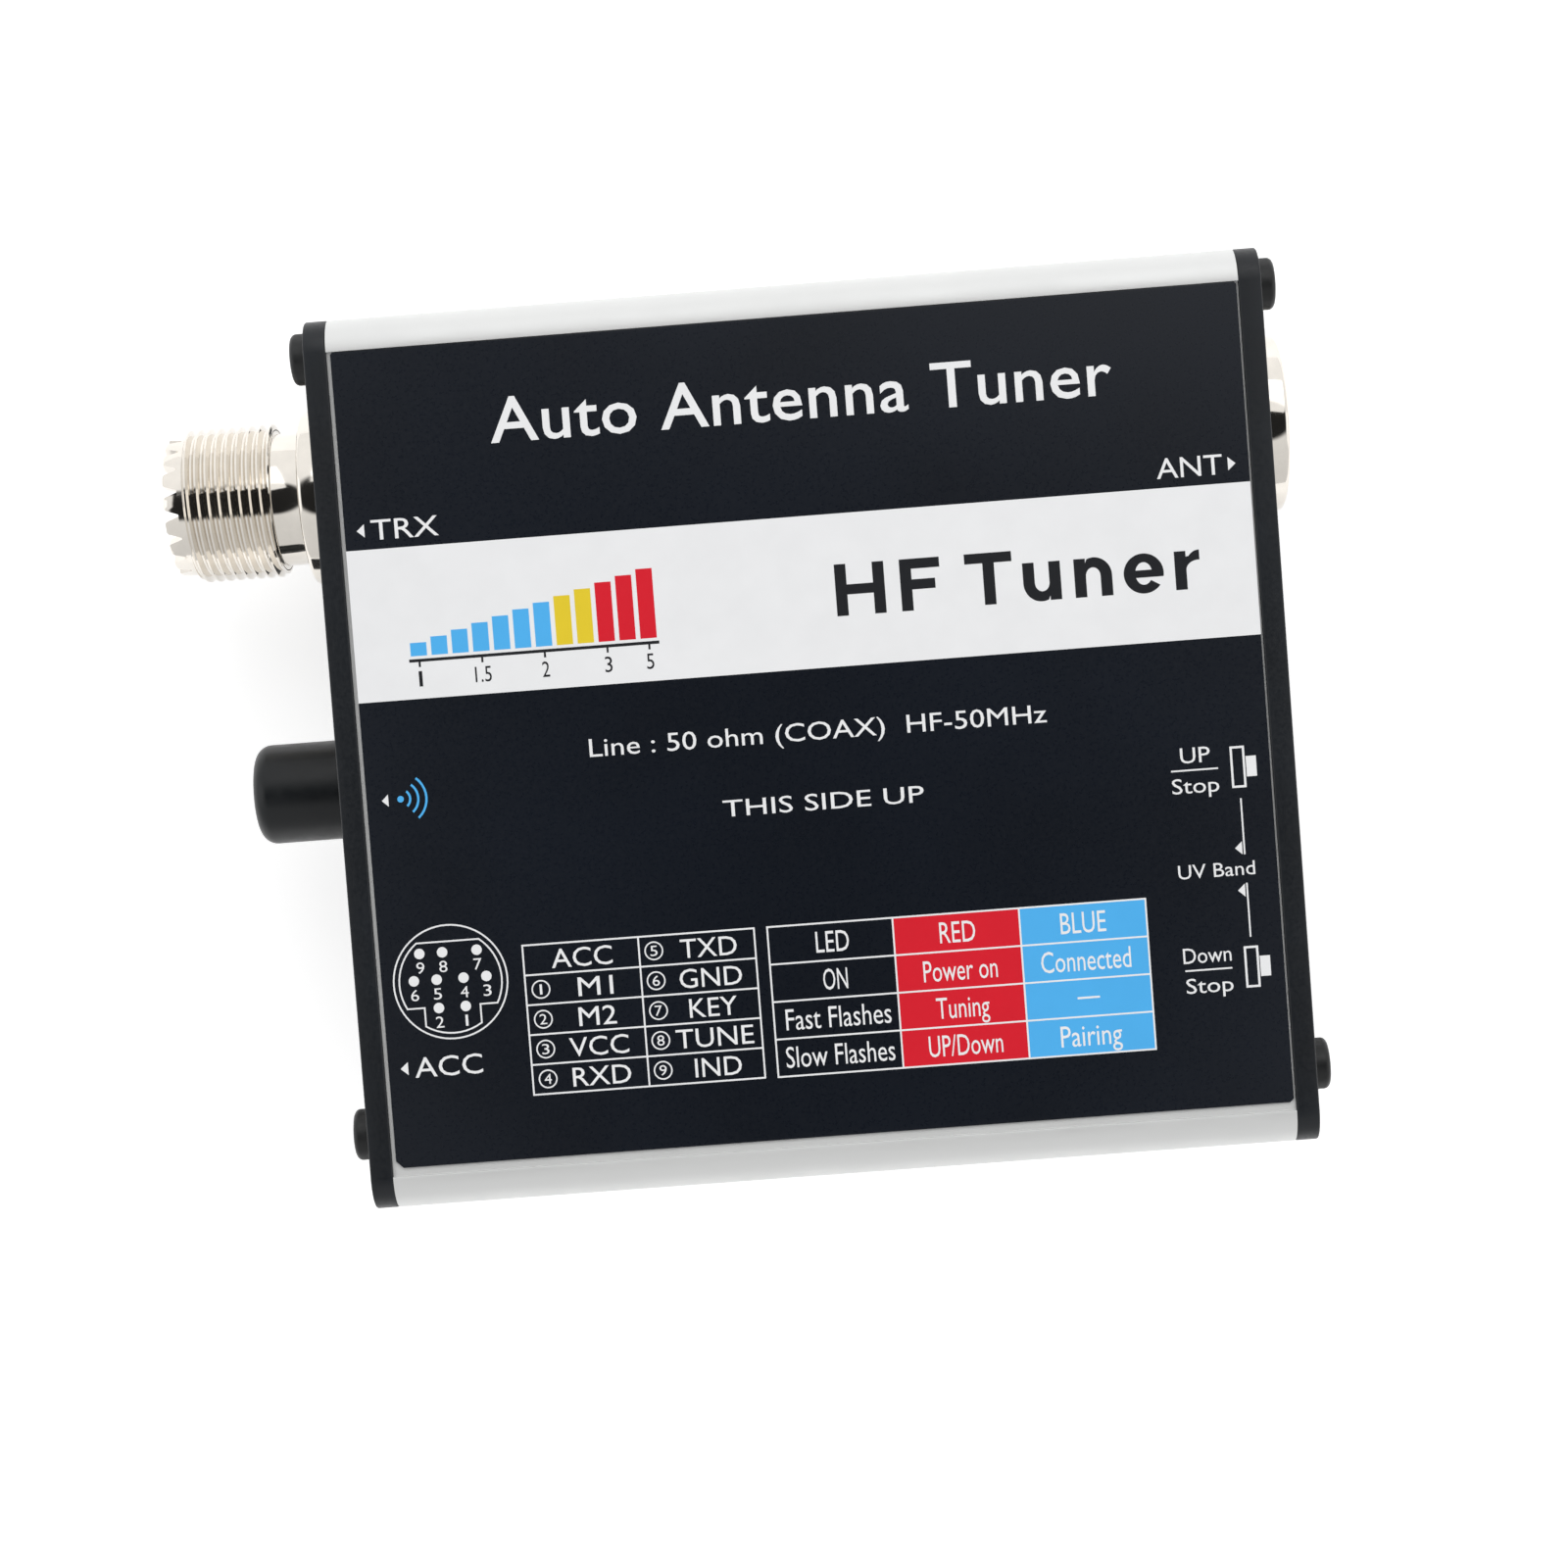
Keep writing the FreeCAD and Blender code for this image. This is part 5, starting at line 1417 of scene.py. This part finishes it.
    def pin_table(self, art):
        """What each pin of the accessory socket carries."""
        ink = "white_ink"
        pitch = 2.95
        rows = [-33.45 + pitch * row for row in range(6)]
        art.grid(ink, (-30.0, -18.6, -7.2), rows, 0.17)
        cells = ((0, "ACC", -27.25, -21.25), (1, "M1", -24.85, -21.4),
                 (2, "M2", -25.0, -21.3), (3, "VCC", -26.15, -20.3),
                 (4, "RXD", -26.05, -20.3), (5, "TXD", -14.55, -9.0),
                 (6, "GND", -14.85, -8.7), (7, "KEY", -14.1, -9.4),
                 (8, "TUNE", -15.65, -8.0), (9, "IND", -14.0, -9.4))
        for number, text, left, right in cells:
            row = number if number < 5 else number - 5
            middle = rows[-1] - pitch * (row + 0.5)
            art.words(ink, text, left, right, middle - 0.95, 1.85)
            if number:
                centre = -28.5 if number < 5 else -17.15
                art.ring(ink, centre, middle, 0.86, 0.14, steps=28)
                half = 0.36 if number > 1 else 0.12
                art.words(ink, str(number), centre - half, centre + half, middle - 0.5,
                          1.0)

    def lamp_table(self, art):
        """What the lamps say: state, red lamp, blue lamp."""
        pitch = 3.7
        rows = [-33.5 + pitch * row for row in range(5)]
        left, red, blue, right = -5.9, 6.4, 18.8, 31.2
        art.bar("red_ink", red, blue, rows[0], rows[-1])
        art.bar("sky_ink", blue, right, rows[0], rows[-1])
        art.grid("white_ink", (left, red, blue, right), rows, 0.17, 1)
        cells = ((0, "LED", -1.25, 2.0), (1, "ON", -0.8, 1.6),
                 (2, "Fast Flashes", -4.75, 5.6), (3, "Slow Flashes", -5.0, 5.7),
                 (0, "RED", 10.9, 14.4), (1, "Power on", 9.05, 16.3),
                 (2, "Tuning", 10.05, 15.25), (3, "UP/Down", 9.05, 16.3),
                 (0, "BLUE", 22.75, 27.2), (1, "Connected", 20.6, 29.4),
                 (3, "Pairing", 22.0, 28.0))
        for row, text, start, end in cells:
            base = rows[-1] - pitch * (row + 0.5) - 1.02
            art.words("white_ink", text, start, end, base, 2.05, 1 if start > red else 0)
        dash = rows[-1] - pitch * 2.5
        art.bar("white_ink", 23.9, 26.1, dash - 0.1, dash + 0.1, 1)

    def button_signs(self, art):
        """Signs beside the UP and DOWN buttons, joined by a line."""
        ink = "white_ink"
        for text, left, right, top in (("UP", 35.6, 38.5, -4.3),
                                       ("Down", 34.5, 39.2, -23.9)):
            art.words(ink, text, left, right, top - 1.5, 1.5)
            art.bar(ink, 34.6, 39.2, top - 2.28, top - 2.12)
            art.words(ink, "Stop", 34.6, 39.2, top - 4.45, 1.45)
            low, high = top - 4.15, top - 0.3
            art.stroke(ink, [(40.55, low), (41.75, low), (41.75, high), (40.55, high)],
                       0.22)
            centre = (low + high) / 2
            art.bar(ink, 41.95, 42.95, centre - 1.0, centre + 1.0)
        art.words(ink, "UV Band", 34.6, 42.1, -17.1, 1.35)
        for start, end, arrow in ((-15.1, -9.6, -14.45), (-23.2, -17.9, -18.6)):
            art.bar(ink, 41.12, 41.28, start, end)
            art.solid(ink, [(40.3, arrow), (41.0, arrow - 0.65), (41.0, arrow + 0.65)])


# ---------------------------------------------------------------- stage

class TUNER_OT_stage(Operator):
    """Pale floor, soft lights and the camera above the box"""

    bl_idname = "tuner.stage"
    bl_label = "Stage"

    def execute(self, context):
        stage = context.scene.tuner_stage
        n = Nodes("floor_paper", Specular_IOR_Level=0.2, Emission_Color=(1, 1, 1, 1),
                  Emission_Strength=stage.floor_glow)
        n.colour(n.ramp(n.noise(40), ((0.3, (0.86, 0.86, 0.86)), (0.7, (0.88, 0.88, 0.88)))))
        n.rough(n.spread(n.noise(600), 0.8, 0.9))
        bm = bmesh.new()
        reach = 1.5
        corners = [(-reach, -reach), (reach, -reach), (reach, reach), (-reach, reach)]
        bm.faces.new([bm.verts.new((x, y, 0)) for x, y in corners])
        floor = mesh_piece("floor", bm)
        floor.data.materials.append(n.material)

        world = bpy.data.worlds.new("studio")
        world.use_nodes = True
        background = world.node_tree.nodes["Background"]
        self.room(world.node_tree, background, stage)
        context.scene.world = world
        self.light("key", (0.10, 0.42, 0.62), 0.55, stage.key)
        self.light("fill_left", (-0.65, 0.05, 0.40), 0.45, stage.fill)
        self.light("fill_right", (0.65, -0.10, 0.40), 0.45, stage.fill)

        data = bpy.data.cameras.new("camera")
        data.lens = stage.lens
        data.sensor_width = 36
        data.clip_start = 0.01
        camera = link(bpy.data.objects.new("camera", data))
        camera.location = stage.eye
        camera.rotation_euler = stage.tilt
        context.scene.camera = camera
        context.scene.view_settings.view_transform = "Standard"
        return {"FINISHED"}

    def room(self, tree, background, stage):
        """White walls, brighter on the far side, under a dark ceiling patch."""
        direction = new_node(tree, "ShaderNodeTexCoord").outputs["Generated"]
        axes = new_node(tree, "ShaderNodeSeparateXYZ", {0: direction})
        ceiling = new_node(tree, "ShaderNodeMapRange", {
            "Value": axes.outputs["Z"], "From Min": 0.865, "From Max": 0.915,
            "To Min": 1.0, "To Max": 0.02}, interpolation_type="SMOOTHSTEP")
        sides = new_node(tree, "ShaderNodeMapRange", {
            "Value": axes.outputs["Y"], "From Min": -1.0, "From Max": 1.0,
            "To Min": stage.surround * 0.80, "To Max": stage.surround * 1.20})
        strength = new_node(tree, "ShaderNodeMath", {
            0: ceiling.outputs["Result"], 1: sides.outputs["Result"]},
            operation="MULTIPLY")
        tree.links.new(strength.outputs[0], background.inputs["Strength"])
        background.inputs["Color"].default_value = (1.0, 1.0, 1.0, 1)

    def light(self, name, place, width, power):
        data = bpy.data.lights.new(name, "AREA")
        data.size = width
        data.energy = power
        obj = link(bpy.data.objects.new(name, data))
        obj.location = place
        obj.rotation_euler = (Vector((0, 0, 0.02)) - Vector(place)).to_track_quat(
            "-Z", "Y").to_euler()


# ---------------------------------------------------------------- panel and run

PIECES = (TUNER_OT_shells, TUNER_OT_end_plates, TUNER_OT_plate_screws, TUNER_OT_film,
          TUNER_OT_printing, TUNER_OT_trx_jack, TUNER_OT_antenna_socket,
          TUNER_OT_stub_antenna, TUNER_OT_accessory_socket, TUNER_OT_buttons_and_lamps,
          TUNER_OT_inside, TUNER_OT_stage)


class TUNER_PT_panel(Panel):
    """Lists the steps that make the tuner"""

    bl_idname = "TUNER_PT_panel"
    bl_label = "Antenna Tuner"
    bl_space_type = "VIEW_3D"
    bl_region_type = "UI"
    bl_category = "Tuner"

    def draw(self, context):
        layout = self.layout
        for group in ("tuner_sizes", "tuner_colours", "tuner_stage"):
            box = layout.box()
            settings = getattr(context.scene, group)
            for name in settings.bl_rna.properties.keys():
                if name not in ("rna_type", "name"):
                    box.prop(settings, name)
        for operator in PIECES:
            layout.operator(operator.bl_idname)


CLASSES = (TunerSizes, TunerColours, TunerStage) + PIECES + (TUNER_PT_panel,)


def register():
    for item in CLASSES:
        bpy.utils.register_class(item)
    scene = bpy.types.Scene
    scene.tuner_sizes = PointerProperty(type=TunerSizes)
    scene.tuner_colours = PointerProperty(type=TunerColours)
    scene.tuner_stage = PointerProperty(type=TunerStage)


def unregister():
    scene = bpy.types.Scene
    del scene.tuner_sizes, scene.tuner_colours, scene.tuner_stage
    for item in reversed(CLASSES):
        bpy.utils.unregister_class(item)


def main():
    register()
    for operator in PIECES:
        group, name = operator.bl_idname.split(".")
        getattr(getattr(bpy.ops, group), name)()


if __name__ == "__main__":
    main()
